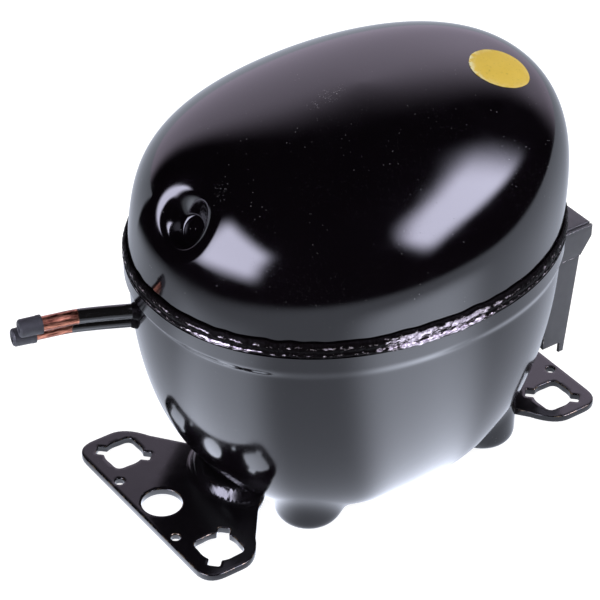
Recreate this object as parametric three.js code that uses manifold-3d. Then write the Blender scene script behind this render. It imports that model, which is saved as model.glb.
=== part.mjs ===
// Hermetic reciprocating compressor: a welded two-part shell on two base plates, with a motor and
// a pump hanging on four springs inside it. Millimetres, +Z up. The origin is the centre of the
// shell's flat bottom. +X points to the electrical terminals, -X to the suction and process tubes.
import * as THREE from "three";
import { mergeVertices } from "three/addons/utils/BufferGeometryUtils.js";
import Module from "manifold-3d";

const wasm = await Module();
wasm.setup();

// ---- driving dimensions -------------------------------------------------------------------------
const GAP = 0.3;                  // clearance between pieces that only touch
const WALL = 2.8;                 // shell sheet
const SEAM_Z = 107.5;             // lower edge of the shell weld
const RIM = { halfX: 91.7, halfY: 76.6, power: 2.11 };      // widest line of the weld
const SEGMENTS = 40;              // round the shell

// Cover: a necked skirt, a short straight wall, then an egg-shaped dome that leans up towards +X.
// Over a point x the dome is crown + lean * x + swell * x * x high.
const COVER = {
  halfX: 89.6, halfY: 74.5, neckIn: 2.5, skirtZ: 100.3, neckZ: 106.3, wallZ: SEAM_Z + 4.3,
  crown: 61.9, lean: 0.0712, swell: 0.00174, shift: 5.6, sidePower: 1.2, risePower: 0.52,
};
const DIMPLE = { climb: 0.41, around: 3.22, depth: 8, halfWide: 16.5 };   // pressed stop, -X end
const LABEL = { x: 57.3, y: -18.4, radius: 12, thick: 0.3 };

// Bowl: a rim band that takes the cover, then a deep-drawn bowl.
const BAND = { halfX: 91.1, halfY: 76.0, bottomZ: 99.5 };
const BOWL = { halfX: 87.9, halfY: 74.3, topZ: 95.5, power: 2.2, fall: 1.87, end: 3.77 };
const POCKET = { radius: 13.6, fillet: 8, topZ: 34 };       // one under each suspension spring

const PLATE = { edgeX: 100, halfY: 49, bottomZ: 7, thick: 3, corner: 9 };
const PLATE_NECK = {
  rootX: 46, rootY: 19, waistX: 57, waistY: 22, flareX: 70, flareY: 38.6, bendX: 75.5, endX: 83,
};
const GROMMET = {
  x: 85, y: 35, radius: 8, notchHalf: 2.5, notchReach: 11.3, cornerRise: 2, cornerSpread: 0.32,
};
const MID_HOLE = { x: 89, radius: 8.25 };
const PIN_HOLE = { x: 96, y: 20.7, radius: 2 };
const EMBOSS = { x: 50, halfX: 22, halfY: 24, rise: 4.5, slope: 4 };

const TUBE = { radius: 3.0, bore: 2.3, capGrip: 7.5, capEnd: 3.0, capRadius: 3.85 };
const SUCTION_Z = 90;
const PROCESS_OFFSET = new THREE.Vector3(-0.6, 4.7, -7);
const DISCHARGE = { x: 45, y: 66, z: 90, dirX: 0.4376, dirY: 0.899, outside: 33, inside: 8 };

const FENCE = {
  halfY: 23.5, sheet: 1.5, backX: 88.4, frontX: 110, topZ: 82, lipZ: 76, waistX: 104.5,
  waistZ: 67.6, footX: 100, footZ: 20, hookX: 97.5, hemZ: 25,
};
const TERMINAL = { z: 55, radius: 15.2, innerX: 76, outerX: 91, wall: 2, face: 2.4 };
const PIN = { ring: 7, radius: 1.4, tailX: 74, tipX: 101, eye: 3.2, glass: 2.9, glassBore: 1.75 };
const EARTH = { y: 16, z: 34, radius: 1.5, hole: 1.8, headRadius: 4, head: 3 };

// Pump and motor, in a frame of their own with the shaft on its Z axis.
const PUMP_X = 7.5;
const SPRING = { x: 44.8, y: 28.5, coil: 7.4, wire: 0.8, bottomZ: 6.2, topZ: 34.6, turns: 5 };
const SEAT = { radius: 6.2, chamfer: 1.5, topZ: 14 };
const STATOR = { halfX: 52, halfY: 42, chamfer: 14, bottomZ: 40, topZ: 86, bore: 25.3 };
const STATOR_BOLT = { radius: 2.5, hole: 2.8, headRadius: 6.5, head: 4, reach: 10 };
const WINDING = {
  inner: 28, outer: 39, soft: 3, height: 12.7, slots: 8, slotWide: 4, slotIn: 29.5, slotOut: 36,
};
const ROTOR = { radius: 24.8, ring: 3.5, ringIn: 14, ringOut: 23 };
const WEIGHT = { inner: 11, outer: 22, thick: 5 };
const SHAFT = { radius: 8, bottomZ: 26, bearing: 8.2 };
const PICKUP = { tipZ: 9, tipBore: 2, wall: 1, clearance: 0.3, grip: 4.5 };
const BED = { halfX: 50, halfY: 38, bottomZ: 101, topZ: 107, hub: 13, leg: 5.5 };
const THROW = 8;                  // crank radius: the stroke is twice this
const PLUG = { x: THROW / 2, radius: 2.2, pocket: 2.6, depth: 3 };
const WEB = { radius: 17, bottomZ: 109, topZ: 112.7 };
const WASHER = { inner: 9, outer: 15 };
const BORE_Z = 121;
const YOKE = { halfX: 13.5, halfY: 23, halfZ: 7.8, slotX: 7.7, slotY: 16.2 };
const BLOCK = { half: 7.5, halfZ: 7.4, pin: 6, pinTop: 128 };
const PISTON = { radius: 12.35, bore: 12.5, crownX: 50, length: 16.4, neck: 6 };
const CYLINDER = { backX: 27, faceX: 51.5, halfY: 22, bottomZ: 104, topZ: 139 };
const HEAD_BOLT = { y: 18, rise: 14, radius: 2, headRadius: 3.6, head: 3.2, bite: 11 };
const VALVES = { gasket: 0.6, plate: 2.6, headDepth: 9, portY: 6, portRise: 4, port: 2.6 };
const CHAMBER = { innerY: 1.5, outerY: 14, rise: 12, depth: 6.5, port: 2.6, portX: 3.6 };
const REED = { halfWide: 3, foot: -9, tip: 8, thick: 0.4, lift: 0.15 };
const MUFFLER = {
  backX: 20, frontX: 52, outerY: -47, innerY: -26, corner: 6, height: 25, neckX: 48, neckHalf: 6,
};
const CONNECTOR = { backX: 63, frontX: 73.4, halfY: 11, below: 8, above: 11 };
const LOOP = { radius: 2.2, bore: 1.4 };

// ---- helpers --------------------------------------------------------------------------------------
// A closed three.js geometry as a solid with its faces pointing out.
function solid(geometry) {
  const bare = geometry.clone();
  bare.deleteAttribute("normal");
  bare.deleteAttribute("uv");
  const merged = mergeVertices(bare, 1e-4);
  const position = merged.attributes.position;
  const index = Array.from(merged.index.array);
  const corner = (i) => new THREE.Vector3().fromBufferAttribute(position, i);
  const kept = [];
  let volume = 0;
  for (let i = 0; i < index.length; i += 3) {
    const [a, b, c] = [index[i], index[i + 1], index[i + 2]];
    if (a === b || b === c || c === a) continue;
    kept.push([a, b, c]);
    volume += corner(a).dot(corner(b).cross(corner(c)));
  }
  const faces = volume < 0 ? kept.map(([a, b, c]) => [a, c, b]) : kept;
  return new wasm.Manifold(new wasm.Mesh({
    numProp: 3,
    vertProperties: new Float32Array(position.array),
    triVerts: new Uint32Array(faces.flat()),
  }));
}

function geometryOf(body) {
  const data = body.getMesh();
  const geometry = new THREE.BufferGeometry();
  geometry.setAttribute("position", new THREE.BufferAttribute(new Float32Array(data.vertProperties), 3));
  geometry.setIndex(new THREE.BufferAttribute(new Uint32Array(data.triVerts), 1));
  geometry.computeVertexNormals();
  return geometry;
}

const join = (...bodies) => bodies.reduce((sum, body) => sum.add(body));
const cut = (body, ...tools) => tools.reduce((rest, tool) => rest.subtract(tool), body);

function box([x0, x1], [y0, y1], [z0, z1]) {
  const geometry = new THREE.BoxGeometry(x1 - x0, y1 - y0, z1 - z0);
  return solid(geometry.translate((x0 + x1) / 2, (y0 + y1) / 2, (z0 + z1) / 2));
}

function rodZ(radius, [z0, z1], x = 0, y = 0, segments = 24) {
  const geometry = new THREE.CylinderGeometry(radius, radius, z1 - z0, segments).rotateX(Math.PI / 2);
  return solid(geometry.translate(x, y, (z0 + z1) / 2));
}

function rodX(radius, [x0, x1], y, z, segments = 24) {
  const geometry = new THREE.CylinderGeometry(radius, radius, x1 - x0, segments).rotateZ(-Math.PI / 2);
  return solid(geometry.translate((x0 + x1) / 2, y, z));
}

// A profile of [radius, height] pairs turned about Z.
function turned(profile, segments = 24) {
  const points = profile.map(([radius, height]) => new THREE.Vector2(radius, height));
  return new THREE.LatheGeometry(points, segments).rotateX(Math.PI / 2);
}

// A turned geometry stood on a point with its axis along a direction.
function aimed(geometry, origin, direction) {
  const turn = new THREE.Quaternion().setFromUnitVectors(new THREE.Vector3(0, 0, 1), direction);
  return geometry.clone().applyQuaternion(turn).translate(origin.x, origin.y, origin.z);
}

function slab(shape, bottom, thick, curveSegments = 6) {
  const options = { depth: thick, bevelEnabled: false, curveSegments };
  return solid(new THREE.ExtrudeGeometry(shape, options).translate(0, 0, bottom));
}

function circle(x, y, radius, sides) {
  return Array.from({ length: sides }, (_, i) => {
    const angle = (2 * Math.PI * i) / sides;
    return new THREE.Vector2(x + radius * Math.cos(angle), y + radius * Math.sin(angle));
  });
}

// A round bar along a curve, or a tube where bore is above zero.
function sweep(path, radius, bore, steps, sides = 10) {
  const shape = new THREE.Shape(circle(0, 0, radius, sides));
  if (bore > 0) shape.holes.push(new THREE.Path(circle(0, 0, bore, sides)));
  return solid(new THREE.ExtrudeGeometry(shape, { steps, extrudePath: path }));
}

function oval(halfX, halfY, power, angle) {
  const c = Math.cos(angle);
  const s = Math.sin(angle);
  return [
    halfX * Math.sign(c) * Math.abs(c) ** (2 / power),
    halfY * Math.sign(s) * Math.abs(s) ** (2 / power),
  ];
}

// One ring of points; height may be a number or a function of x.
function ring({ halfX, halfY, power, height, shift = 0 }, count = SEGMENTS) {
  return Array.from({ length: count }, (_, i) => {
    const [x, y] = oval(halfX, halfY, power, (2 * Math.PI * i) / count);
    const z = typeof height === "function" ? height(x + shift) : height;
    return new THREE.Vector3(x + shift, y, z);
  });
}

// A closed body through a stack of rings. With apexes it is capped by a fan at each end; without
// them the last ring joins the first.
function loft(rings, apexes) {
  const count = rings[0].length;
  const vertices = rings.flat();
  const faces = [];
  const corner = (i, j) => (i % rings.length) * count + (j % count);
  const last = apexes ? rings.length - 1 : rings.length;
  for (let i = 0; i < last; i += 1) {
    for (let j = 0; j < count; j += 1) {
      faces.push(corner(i, j), corner(i, j + 1), corner(i + 1, j + 1));
      faces.push(corner(i, j), corner(i + 1, j + 1), corner(i + 1, j));
    }
  }
  if (apexes) {
    const [first, end] = [vertices.length, vertices.length + 1];
    vertices.push(...apexes);
    for (let j = 0; j < count; j += 1) {
      faces.push(first, corner(0, j + 1), corner(0, j));
      faces.push(end, corner(rings.length - 1, j), corner(rings.length - 1, j + 1));
    }
  }
  const geometry = new THREE.BufferGeometry().setFromPoints(vertices);
  return geometry.setIndex(faces);
}

// ---- shell ----------------------------------------------------------------------------------------
// The cover's ring at a climb from 0 (top of the straight wall) to half a turn of pi (the crown).
function coverRing(climb, inset) {
  const side = Math.cos(climb) ** COVER.sidePower;
  const rise = Math.sin(climb) ** COVER.risePower;
  return {
    halfX: (COVER.halfX - inset) * side,
    halfY: (COVER.halfY - inset) * side,
    power: RIM.power + (2 - RIM.power) * rise,
    shift: COVER.shift * rise,
    height: (x) => COVER.wallZ + (COVER.crown - inset + COVER.lean * x + COVER.swell * x * x) * rise,
  };
}

function coverBody(inset, count, floorZ) {
  const wall = { power: RIM.power, halfX: COVER.halfX - inset, halfY: COVER.halfY - inset };
  const neck = { ...wall, halfX: wall.halfX - COVER.neckIn, halfY: wall.halfY - COVER.neckIn };
  const bands = 8;
  const climbs = Array.from({ length: bands }, (_, i) => (Math.PI / 2) * ((i + 1) / (bands + 1)) ** 1.7);
  const rings = [
    ring({ ...neck, height: floorZ }, count),
    ring({ ...neck, height: COVER.neckZ }, count),
    ring({ ...wall, height: COVER.neckZ + 1.5 }, count),
    ring({ ...wall, height: COVER.wallZ }, count),
    ...climbs.map((climb) => ring(coverRing(climb, inset), count)),
  ];
  const crown = new THREE.Vector3(COVER.shift, 0, coverRing(Math.PI / 2, inset).height(COVER.shift));
  return solid(loft(rings, [new THREE.Vector3(0, 0, floorZ), crown]));
}

// Height of the cover's outer face over a point: the climb whose ring passes through it.
function coverHeight(x, y) {
  let low = 0;
  let high = Math.PI / 2;
  for (let i = 0; i < 40; i += 1) {
    const climb = (low + high) / 2;
    const { halfX, halfY, power, shift } = coverRing(climb, 0);
    const reach = Math.abs((x - shift) / halfX) ** power + Math.abs(y / halfY) ** power;
    if (reach > 1) high = climb;
    else low = climb;
  }
  return coverRing(low, 0).height(x);
}

function coverPoint(climb, angle) {
  const { halfX, halfY, power, shift, height } = coverRing(climb, 0);
  const [x, y] = oval(halfX, halfY, power, angle);
  return new THREE.Vector3(x + shift, y, height(x + shift));
}

// Where the dimple's axis meets the cover, and the cover's normal there.
function dimpleFrame() {
  const { climb, around } = DIMPLE;
  const step = 0.02;
  const up = coverPoint(climb + step, around).sub(coverPoint(climb - step, around));
  const side = coverPoint(climb, around + step).sub(coverPoint(climb, around - step));
  return { origin: coverPoint(climb, around), normal: side.cross(up).normalize() };
}

function dimpleTool(grow) {
  const { depth, halfWide } = DIMPLE;
  const profile = [
    [0, -depth - grow], [0.33 * halfWide + grow * 0.5, 0.3 - depth - grow],
    [0.6 * halfWide + grow, 2 - depth - grow * 0.7], [0.7 * halfWide + grow, 3.6 - depth - grow * 0.5],
    [0.86 * halfWide + grow, -1.2 - grow * 0.6], [halfWide + grow, 0.9 - grow * 0.4],
    [halfWide + grow, depth], [0, depth],
  ];
  const { origin, normal } = dimpleFrame();
  return solid(aimed(turned(profile, 20), origin, normal));
}

function upperShell() {
  const outer = cut(coverBody(0, SEGMENTS, COVER.skirtZ), dimpleTool(0));
  const inner = cut(coverBody(WALL, 24, COVER.skirtZ - 1), dimpleTool(WALL));
  return cut(outer, inner);
}

function bowlBody(inset, count, floorZ, topZ) {
  const levels = 8;
  const drops = Array.from({ length: levels + 1 }, (_, i) => 0.992 * Math.cos((Math.PI / 2) * (i / levels)));
  const rings = drops.map((drop) => {
    const scale = (1 - drop ** BOWL.fall) ** (1 / BOWL.end);
    return ring({
      halfX: (BOWL.halfX - inset) * scale,
      halfY: (BOWL.halfY - inset) * scale,
      power: BOWL.power,
      height: BOWL.topZ - (BOWL.topZ - floorZ) * drop,
    }, count);
  });
  const rim = { power: RIM.power, halfX: BAND.halfX - inset, halfY: BAND.halfY - inset };
  rings[0].forEach((point) => { point.z = floorZ; });
  rings.push(ring({ ...rim, height: BAND.bottomZ }, count), ring({ ...rim, height: topZ }, count));
  return solid(loft(rings, [new THREE.Vector3(0, 0, floorZ), new THREE.Vector3(0, 0, topZ)]));
}

function cornersOfPump(visit) {
  const signs = [[-1, -1], [1, -1], [1, 1], [-1, 1]];
  return signs.map(([sx, sy], i) => visit(sx, sy, i + 1));
}

function pocketBodies(inset, floorZ, segments) {
  const radius = POCKET.radius - inset;
  const fillet = POCKET.fillet - inset;
  const steps = 3;
  const arc = Array.from({ length: steps + 1 }, (_, i) => {
    const angle = (Math.PI / 2) * (i / steps);
    return [radius - fillet * (1 - Math.sin(angle)), floorZ + fillet * (1 - Math.cos(angle))];
  });
  const profile = [[0, floorZ], ...arc, [radius, POCKET.topZ], [0, POCKET.topZ]];
  return cornersOfPump((sx, sy) => solid(
    turned(profile, segments).translate(PUMP_X + sx * SPRING.x, sy * SPRING.y, 0)));
}

// The shell's outside as one solid, grown by a clearance, for cutting what touches it.
function shellOutside(grow) {
  return join(bowlBody(-grow, SEGMENTS, -grow, SEAM_Z - 1), ...pocketBodies(-grow, -grow, 16));
}

function tubePath(points) {
  return new THREE.CatmullRomCurve3(points, false, "centripetal");
}

function suctionPoints() {
  const line = [[-76, 17.9], [-85, 22.3], [-96, 27.7], [-106.3, 32.1], [-116, 34.6], [-125.7, 37.0]];
  return line.map(([x, y]) => new THREE.Vector3(x, y, SUCTION_Z));
}

function dischargePoints() {
  const { x, y, z, dirX, dirY, outside, inside } = DISCHARGE;
  return [-inside, outside / 2, outside].map((t) => new THREE.Vector3(x + dirX * t, y + dirY * t, z));
}

const STUBS = {
  suction: suctionPoints(),
  process: suctionPoints().map((point) => point.add(PROCESS_OFFSET)),
  discharge: dischargePoints(),
};

function stub(name, radius, bore) {
  const steps = name === "discharge" ? 3 : 8;
  return sweep(tubePath(STUBS[name]), radius, bore, steps, 10);
}

function stubEnd(name) {
  const [before, end] = STUBS[name].slice(-2);
  return { end, direction: end.clone().sub(before).normalize() };
}

// Rubber cap: a sleeve over the tube's end with a small blind recess in its nose.
function stubCap(name) {
  const { capGrip, capEnd, capRadius, radius } = TUBE;
  const profile = [
    [0, GAP], [radius + GAP, GAP], [radius + GAP, -capGrip], [capRadius, -capGrip],
    [capRadius, capEnd - 0.6], [capRadius - 0.6, capEnd], [1.4, capEnd], [1.4, 1.2], [0, 1.2],
  ];
  const { end, direction } = stubEnd(name);
  return solid(aimed(turned(profile, 12), end, direction));
}

function lowerShell() {
  const top = SEAM_Z - 1;
  const outer = join(bowlBody(0, SEGMENTS, 0, top), ...pocketBodies(0, 0, 16));
  const inner = join(bowlBody(WALL, 24, WALL, top + 1), ...pocketBodies(WALL, WALL, 12));
  const holes = Object.keys(STUBS).map((name) => stub(name, TUBE.radius + GAP, 0));
  const through = [TERMINAL.innerX - 14, TERMINAL.outerX + 4];
  const terminal = rodX(TERMINAL.radius + GAP, through, 0, TERMINAL.z, 24);
  return cut(outer, inner, terminal, ...holes);
}

// Each section point is [inset from the rim's widest line, height above the weld's lower edge].
function weldBead() {
  const section = [[1.6, -0.7], [0.5, -0.7], [0, 0.9], [0, 2.8], [0.6, 4.9], [1.1, 5.8], [1.6, 5.8]];
  const rings = section.map(([inset, rise]) => ring({
    halfX: RIM.halfX - inset, halfY: RIM.halfY - inset, power: RIM.power, height: SEAM_Z + rise,
  }));
  return solid(loft(rings.reverse()));
}

function label() {
  const lift = [GAP, GAP, GAP + LABEL.thick, GAP + LABEL.thick];
  const reach = [0.5, 1, 1, 0.5];
  const at = (part, angle, up) => {
    const x = LABEL.x + LABEL.radius * part * Math.cos(angle);
    const y = LABEL.y + LABEL.radius * part * Math.sin(angle);
    return new THREE.Vector3(x, y, coverHeight(x, y) + up);
  };
  const count = 16;
  const rings = reach.map((part, i) => Array.from({ length: count },
    (_, j) => at(part, (2 * Math.PI * j) / count, lift[i])));
  return solid(loft(rings, [at(0, 0, GAP), at(0, 0, GAP + LABEL.thick)]));
}

// ---- base plates ----------------------------------------------------------------------------------
function plateOutline(side) {
  const { edgeX, halfY, corner } = PLATE;
  const { rootX, rootY, waistX, waistY, flareX, flareY, bendX, endX } = PLATE_NECK;
  const shape = new THREE.Shape();
  shape.moveTo(side * rootX, -rootY);
  shape.lineTo(side * waistX, -waistY);
  shape.lineTo(side * flareX, -flareY);
  shape.quadraticCurveTo(side * bendX, -halfY, side * endX, -halfY);
  shape.lineTo(side * (edgeX - corner), -halfY);
  shape.quadraticCurveTo(side * edgeX, -halfY, side * edgeX, corner - halfY);
  shape.lineTo(side * edgeX, halfY - corner);
  shape.quadraticCurveTo(side * edgeX, halfY, side * (edgeX - corner), halfY);
  shape.lineTo(side * endX, halfY);
  shape.quadraticCurveTo(side * bendX, halfY, side * flareX, flareY);
  shape.lineTo(side * waistX, waistY);
  shape.lineTo(side * rootX, rootY);
  shape.closePath();
  return shape;
}

// Round hole with a notch outwards and one inwards along the plate's diagonal, and a soft corner
// on each of the other two sides.
function grommetHole(side, way) {
  const { x, y, radius, notchHalf, notchReach, cornerRise, cornerSpread } = GROMMET;
  const outline = [];
  const half = 8;
  for (const turn of [0, Math.PI]) {
    outline.push([notchReach, -notchHalf, turn], [notchReach, notchHalf, turn]);
    for (let i = 0; i <= half; i += 1) {
      const start = Math.asin(notchHalf / radius);
      const angle = start + ((Math.PI - 2 * start) * i) / half;
      const reach = radius + cornerRise * Math.exp(-(((angle - Math.PI / 2) / cornerSpread) ** 2));
      outline.push([reach * Math.cos(angle), reach * Math.sin(angle), turn]);
    }
  }
  const diagonal = Math.atan2(way, side);
  const points = outline.map(([u, v, turn]) => {
    const place = new THREE.Vector2(u, v).rotateAround(new THREE.Vector2(), turn + diagonal);
    return place.add(new THREE.Vector2(side * x, way * y));
  });
  return new THREE.Path(points);
}

// The raised foot of the plate, where it climbs to the shell.
function embossBody(side, shrink, drop) {
  const low = PLATE.bottomZ + PLATE.thick - drop;
  const level = (inset, height) => ring({
    halfX: EMBOSS.halfX - inset - shrink, halfY: EMBOSS.halfY - inset - shrink,
    power: 2, height, shift: side * EMBOSS.x,
  }, 28);
  const top = low + EMBOSS.rise;
  const rings = [level(0, low - 0.5), level(0, low), level(EMBOSS.slope, top)];
  const centre = (z) => new THREE.Vector3(side * EMBOSS.x, 0, z);
  return solid(loft(rings, [centre(low - 0.5), centre(top)]));
}

function basePlate(side) {
  const shape = plateOutline(side);
  shape.holes.push(
    grommetHole(side, -1),
    grommetHole(side, 1),
    new THREE.Path(circle(side * MID_HOLE.x, 0, MID_HOLE.radius, 24)),
    new THREE.Path(circle(side * PIN_HOLE.x, -PIN_HOLE.y, PIN_HOLE.radius, 12)),
    new THREE.Path(circle(side * PIN_HOLE.x, PIN_HOLE.y, PIN_HOLE.radius, 12)),
  );
  const flat = slab(shape, PLATE.bottomZ, PLATE.thick);
  const raised = join(flat, embossBody(side, 0, 0));
  return cut(raised, embossBody(side, 1.8, PLATE.thick), shellOutside(GAP));
}

// ---- terminals ------------------------------------------------------------------------------------
// Open sheet-metal box round the terminals: back web, two cheeks and a top flange.
function fence() {
  const f = FENCE;
  const profile = new THREE.Shape([
    [f.backX, f.topZ], [f.frontX, f.topZ], [f.frontX, f.lipZ], [f.waistX, f.waistZ],
    [f.footX, f.footZ], [f.hookX, f.footZ], [f.hookX, f.hemZ], [f.backX, f.hemZ],
  ].map(([x, z]) => new THREE.Vector2(x, z)));
  const cheek = (y) => solid(new THREE.ExtrudeGeometry(profile, { depth: f.sheet, bevelEnabled: false })
    .rotateX(Math.PI / 2).translate(0, y + f.sheet, 0));
  const across = [-f.halfY, f.halfY];
  const web = box([f.backX, f.backX + f.sheet], across, [f.hemZ, f.topZ]);
  const flange = box([f.backX, f.frontX], across, [f.topZ - f.sheet, f.topZ]);
  const body = join(web, cheek(-f.halfY), cheek(f.halfY - f.sheet), flange);
  const through = [f.backX - 1, f.backX + f.sheet + 1];
  return cut(body, rodX(TERMINAL.radius + 2 * GAP, through, 0, TERMINAL.z, 24),
    rodX(EARTH.hole, through, EARTH.y, EARTH.z, 12));
}

// Three pins on a ring, one of them at the top.
const PIN_SPOTS = [90, 210, 330].map((degrees) => {
  const angle = THREE.MathUtils.degToRad(degrees);
  return [PIN.ring * Math.cos(angle), TERMINAL.z + PIN.ring * Math.sin(angle)];
});

function terminalCup() {
  const { radius, innerX, outerX, z, wall, face } = TERMINAL;
  const hollow = rodX(radius - wall, [innerX - 1, outerX - face], 0, z, 24);
  const eyes = PIN_SPOTS.map(([y, high]) => rodX(PIN.eye, [innerX, outerX + 1], y, high, 10));
  return cut(rodX(radius, [innerX, outerX], 0, z, 24), hollow, ...eyes);
}

function glassSeal([y, z]) {
  const { outerX, face } = TERMINAL;
  const bead = rodX(PIN.glass, [outerX - face + 0.2, outerX + 0.5], y, z, 10);
  return cut(bead, rodX(PIN.glassBore, [outerX - face - 1, outerX + 1], y, z, 8));
}

function terminalPin([y, z]) {
  return rodX(PIN.radius, [PIN.tailX, PIN.tipX], y, z, 8);
}

function earthScrew() {
  const face = FENCE.backX + FENCE.sheet + GAP;
  return join(rodX(EARTH.radius, [FENCE.backX, face + 1], EARTH.y, EARTH.z, 12),
    rodX(EARTH.headRadius, [face, face + EARTH.head], EARTH.y, EARTH.z, 12));
}

// ---- suspension -----------------------------------------------------------------------------------
class Helix extends THREE.Curve {
  getPoint(t, target = new THREE.Vector3()) {
    const angle = 2 * Math.PI * SPRING.turns * t;
    const height = SPRING.bottomZ + (SPRING.topZ - SPRING.bottomZ) * t;
    return target.set(SPRING.coil * Math.cos(angle), SPRING.coil * Math.sin(angle), height);
  }
}

function spring(sx, sy) {
  const coil = sweep(new Helix(), SPRING.wire, 0, 9 * SPRING.turns, 4);
  return coil.translate([PUMP_X + sx * SPRING.x, sy * SPRING.y, 0]);
}

function springSeat(sx, sy) {
  const { radius, chamfer, topZ } = SEAT;
  const low = WALL + GAP;
  const profile = [
    [0, low], [radius - 0.2, low], [radius, low + chamfer], [radius, topZ - chamfer],
    [radius - chamfer / 2, topZ], [0, topZ],
  ];
  return solid(turned(profile, 10).translate(PUMP_X + sx * SPRING.x, sy * SPRING.y, 0));
}

// ---- motor ----------------------------------------------------------------------------------------
function statorOutline() {
  const { halfX, halfY, chamfer } = STATOR;
  return new THREE.Shape([
    [halfX, halfY - chamfer], [halfX - chamfer, halfY], [chamfer - halfX, halfY], [-halfX, halfY - chamfer],
    [-halfX, chamfer - halfY], [chamfer - halfX, -halfY], [halfX - chamfer, -halfY], [halfX, chamfer - halfY],
  ].map(([x, y]) => new THREE.Vector2(x, y)));
}

function slotBars(grow, [z0, z1]) {
  const { slots, slotWide, slotIn, slotOut } = WINDING;
  const half = slotWide / 2 + grow;
  return Array.from({ length: slots }, (_, i) => {
    const geometry = new THREE.BoxGeometry(slotOut - slotIn + 2 * grow, 2 * half, z1 - z0);
    geometry.translate((slotIn + slotOut) / 2, 0, (z0 + z1) / 2);
    return solid(geometry.rotateZ((2 * Math.PI * (i + 0.5)) / slots));
  });
}

function statorCore() {
  const { bottomZ, topZ, bore } = STATOR;
  const span = [bottomZ - 1, topZ + 1];
  const holes = cornersOfPump((sx, sy) => rodZ(STATOR_BOLT.hole, span, sx * SPRING.x, sy * SPRING.y, 12));
  return cut(slab(statorOutline(), bottomZ, topZ - bottomZ), rodZ(bore, span, 0, 0, 28),
    ...slotBars(GAP, span), ...holes);
}

function windingEnd(z0, z1) {
  const { inner, outer, soft } = WINDING;
  const profile = [
    [inner, z0 + soft], [inner + soft, z0], [outer - soft, z0], [outer, z0 + soft],
    [outer, z1 - soft], [outer - soft, z1], [inner + soft, z1], [inner, z1 - soft], [inner, z0 + soft],
  ];
  return solid(turned(profile, 20));
}

function statorWinding() {
  const { bottomZ, topZ } = STATOR;
  const { height } = WINDING;
  const low = windingEnd(bottomZ - GAP - height, bottomZ - GAP);
  const high = windingEnd(topZ + GAP, topZ + GAP + height);
  return join(low, high, ...slotBars(0, [bottomZ - 2, topZ + 2]));
}

function statorBolt(sx, sy) {
  const { radius, headRadius, head, reach } = STATOR_BOLT;
  const face = STATOR.bottomZ - GAP;
  const tip = STATOR.topZ + reach;
  const profile = [
    [0, face - head], [headRadius, face - head], [headRadius, face], [radius, face], [radius, tip], [0, tip],
  ];
  return solid(turned(profile, 12).translate(sx * SPRING.x, sy * SPRING.y, 0));
}

function rotor() {
  const { radius, ring: rise, ringIn, ringOut } = ROTOR;
  const { bottomZ, topZ } = STATOR;
  const bore = SHAFT.radius + 0.25;
  return solid(turned([
    [bore, bottomZ], [ringIn, bottomZ], [ringIn, bottomZ - rise], [ringOut, bottomZ - rise],
    [ringOut, bottomZ], [radius, bottomZ], [radius, topZ], [ringOut, topZ], [ringOut, topZ + rise],
    [ringIn, topZ + rise], [ringIn, topZ], [bore, topZ], [bore, bottomZ],
  ], 24));
}

function balanceWeight() {
  const { inner, outer, thick } = WEIGHT;
  const top = STATOR.bottomZ - ROTOR.ring - GAP;
  const shape = new THREE.Shape().absarc(0, 0, outer, Math.PI / 2, 1.5 * Math.PI);
  shape.absarc(0, 0, inner, 1.5 * Math.PI, Math.PI / 2, true);
  return slab(shape, top - thick, thick, 12);
}

// ---- crank drive ----------------------------------------------------------------------------------
function crankshaft() {
  const shaft = rodZ(SHAFT.radius, [SHAFT.bottomZ, WEB.bottomZ + 1]);
  const web = rodZ(WEB.radius, [WEB.bottomZ, WEB.topZ], 0, 0, 28);
  const pin = rodZ(BLOCK.pin, [WEB.topZ - 1, BLOCK.pinTop], THROW, 0, 20);
  const pocket = rodZ(PLUG.pocket, [SHAFT.bottomZ - 1, SHAFT.bottomZ + PLUG.depth], PLUG.x, 0, 16);
  return cut(join(shaft, web, pin), pocket);
}

function oilGalleryPlug() {
  return rodZ(PLUG.radius, [SHAFT.bottomZ + GAP, SHAFT.bottomZ + PLUG.depth - GAP], PLUG.x, 0, 16);
}

function oilPickup() {
  const { tipZ, tipBore, wall, clearance, grip } = PICKUP;
  const inner = SHAFT.radius + clearance;
  const foot = SHAFT.bottomZ;
  return solid(turned([
    [tipBore, tipZ], [tipBore + 1.2 * wall, tipZ], [inner + wall, foot - 2 * wall],
    [inner + wall, foot + grip], [inner, foot + grip], [inner, foot - wall], [tipBore, tipZ],
  ], 20));
}

function slideBlock() {
  const { half, halfZ, pin } = BLOCK;
  const body = box([THROW - half, THROW + half], [-half, half], [BORE_Z - halfZ, BORE_Z + halfZ]);
  return cut(body, rodZ(pin + 0.2, [BORE_Z - halfZ - 1, BORE_Z + halfZ + 1], THROW, 0, 20));
}

// Piston, rod and cross-slide in one: the slide block runs along Y in the slot.
function pistonYoke() {
  const { halfX, halfY, halfZ, slotX, slotY } = YOKE;
  const frame = box([THROW - halfX, THROW + halfX], [-halfY, halfY], [BORE_Z - halfZ, BORE_Z + halfZ]);
  const slot = box([THROW - slotX, THROW + slotX], [-slotY, slotY], [BORE_Z - halfZ - 1, BORE_Z + halfZ + 1]);
  const neck = rodX(PISTON.neck, [THROW + halfX - 1, PISTON.crownX - 5], 0, BORE_Z, 20);
  const piston = rodX(PISTON.radius, [PISTON.crownX - PISTON.length, PISTON.crownX], 0, BORE_Z, 28);
  return join(cut(frame, slot), neck, piston);
}

// ---- pump body ------------------------------------------------------------------------------------
const HEAD_BOLT_SPOTS = [[-1, -1], [1, -1], [1, 1], [-1, 1]].map(([sy, sz]) => [
  sy * HEAD_BOLT.y, (CYLINDER.bottomZ + CYLINDER.topZ) / 2 + sz * HEAD_BOLT.rise,
]);

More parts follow.
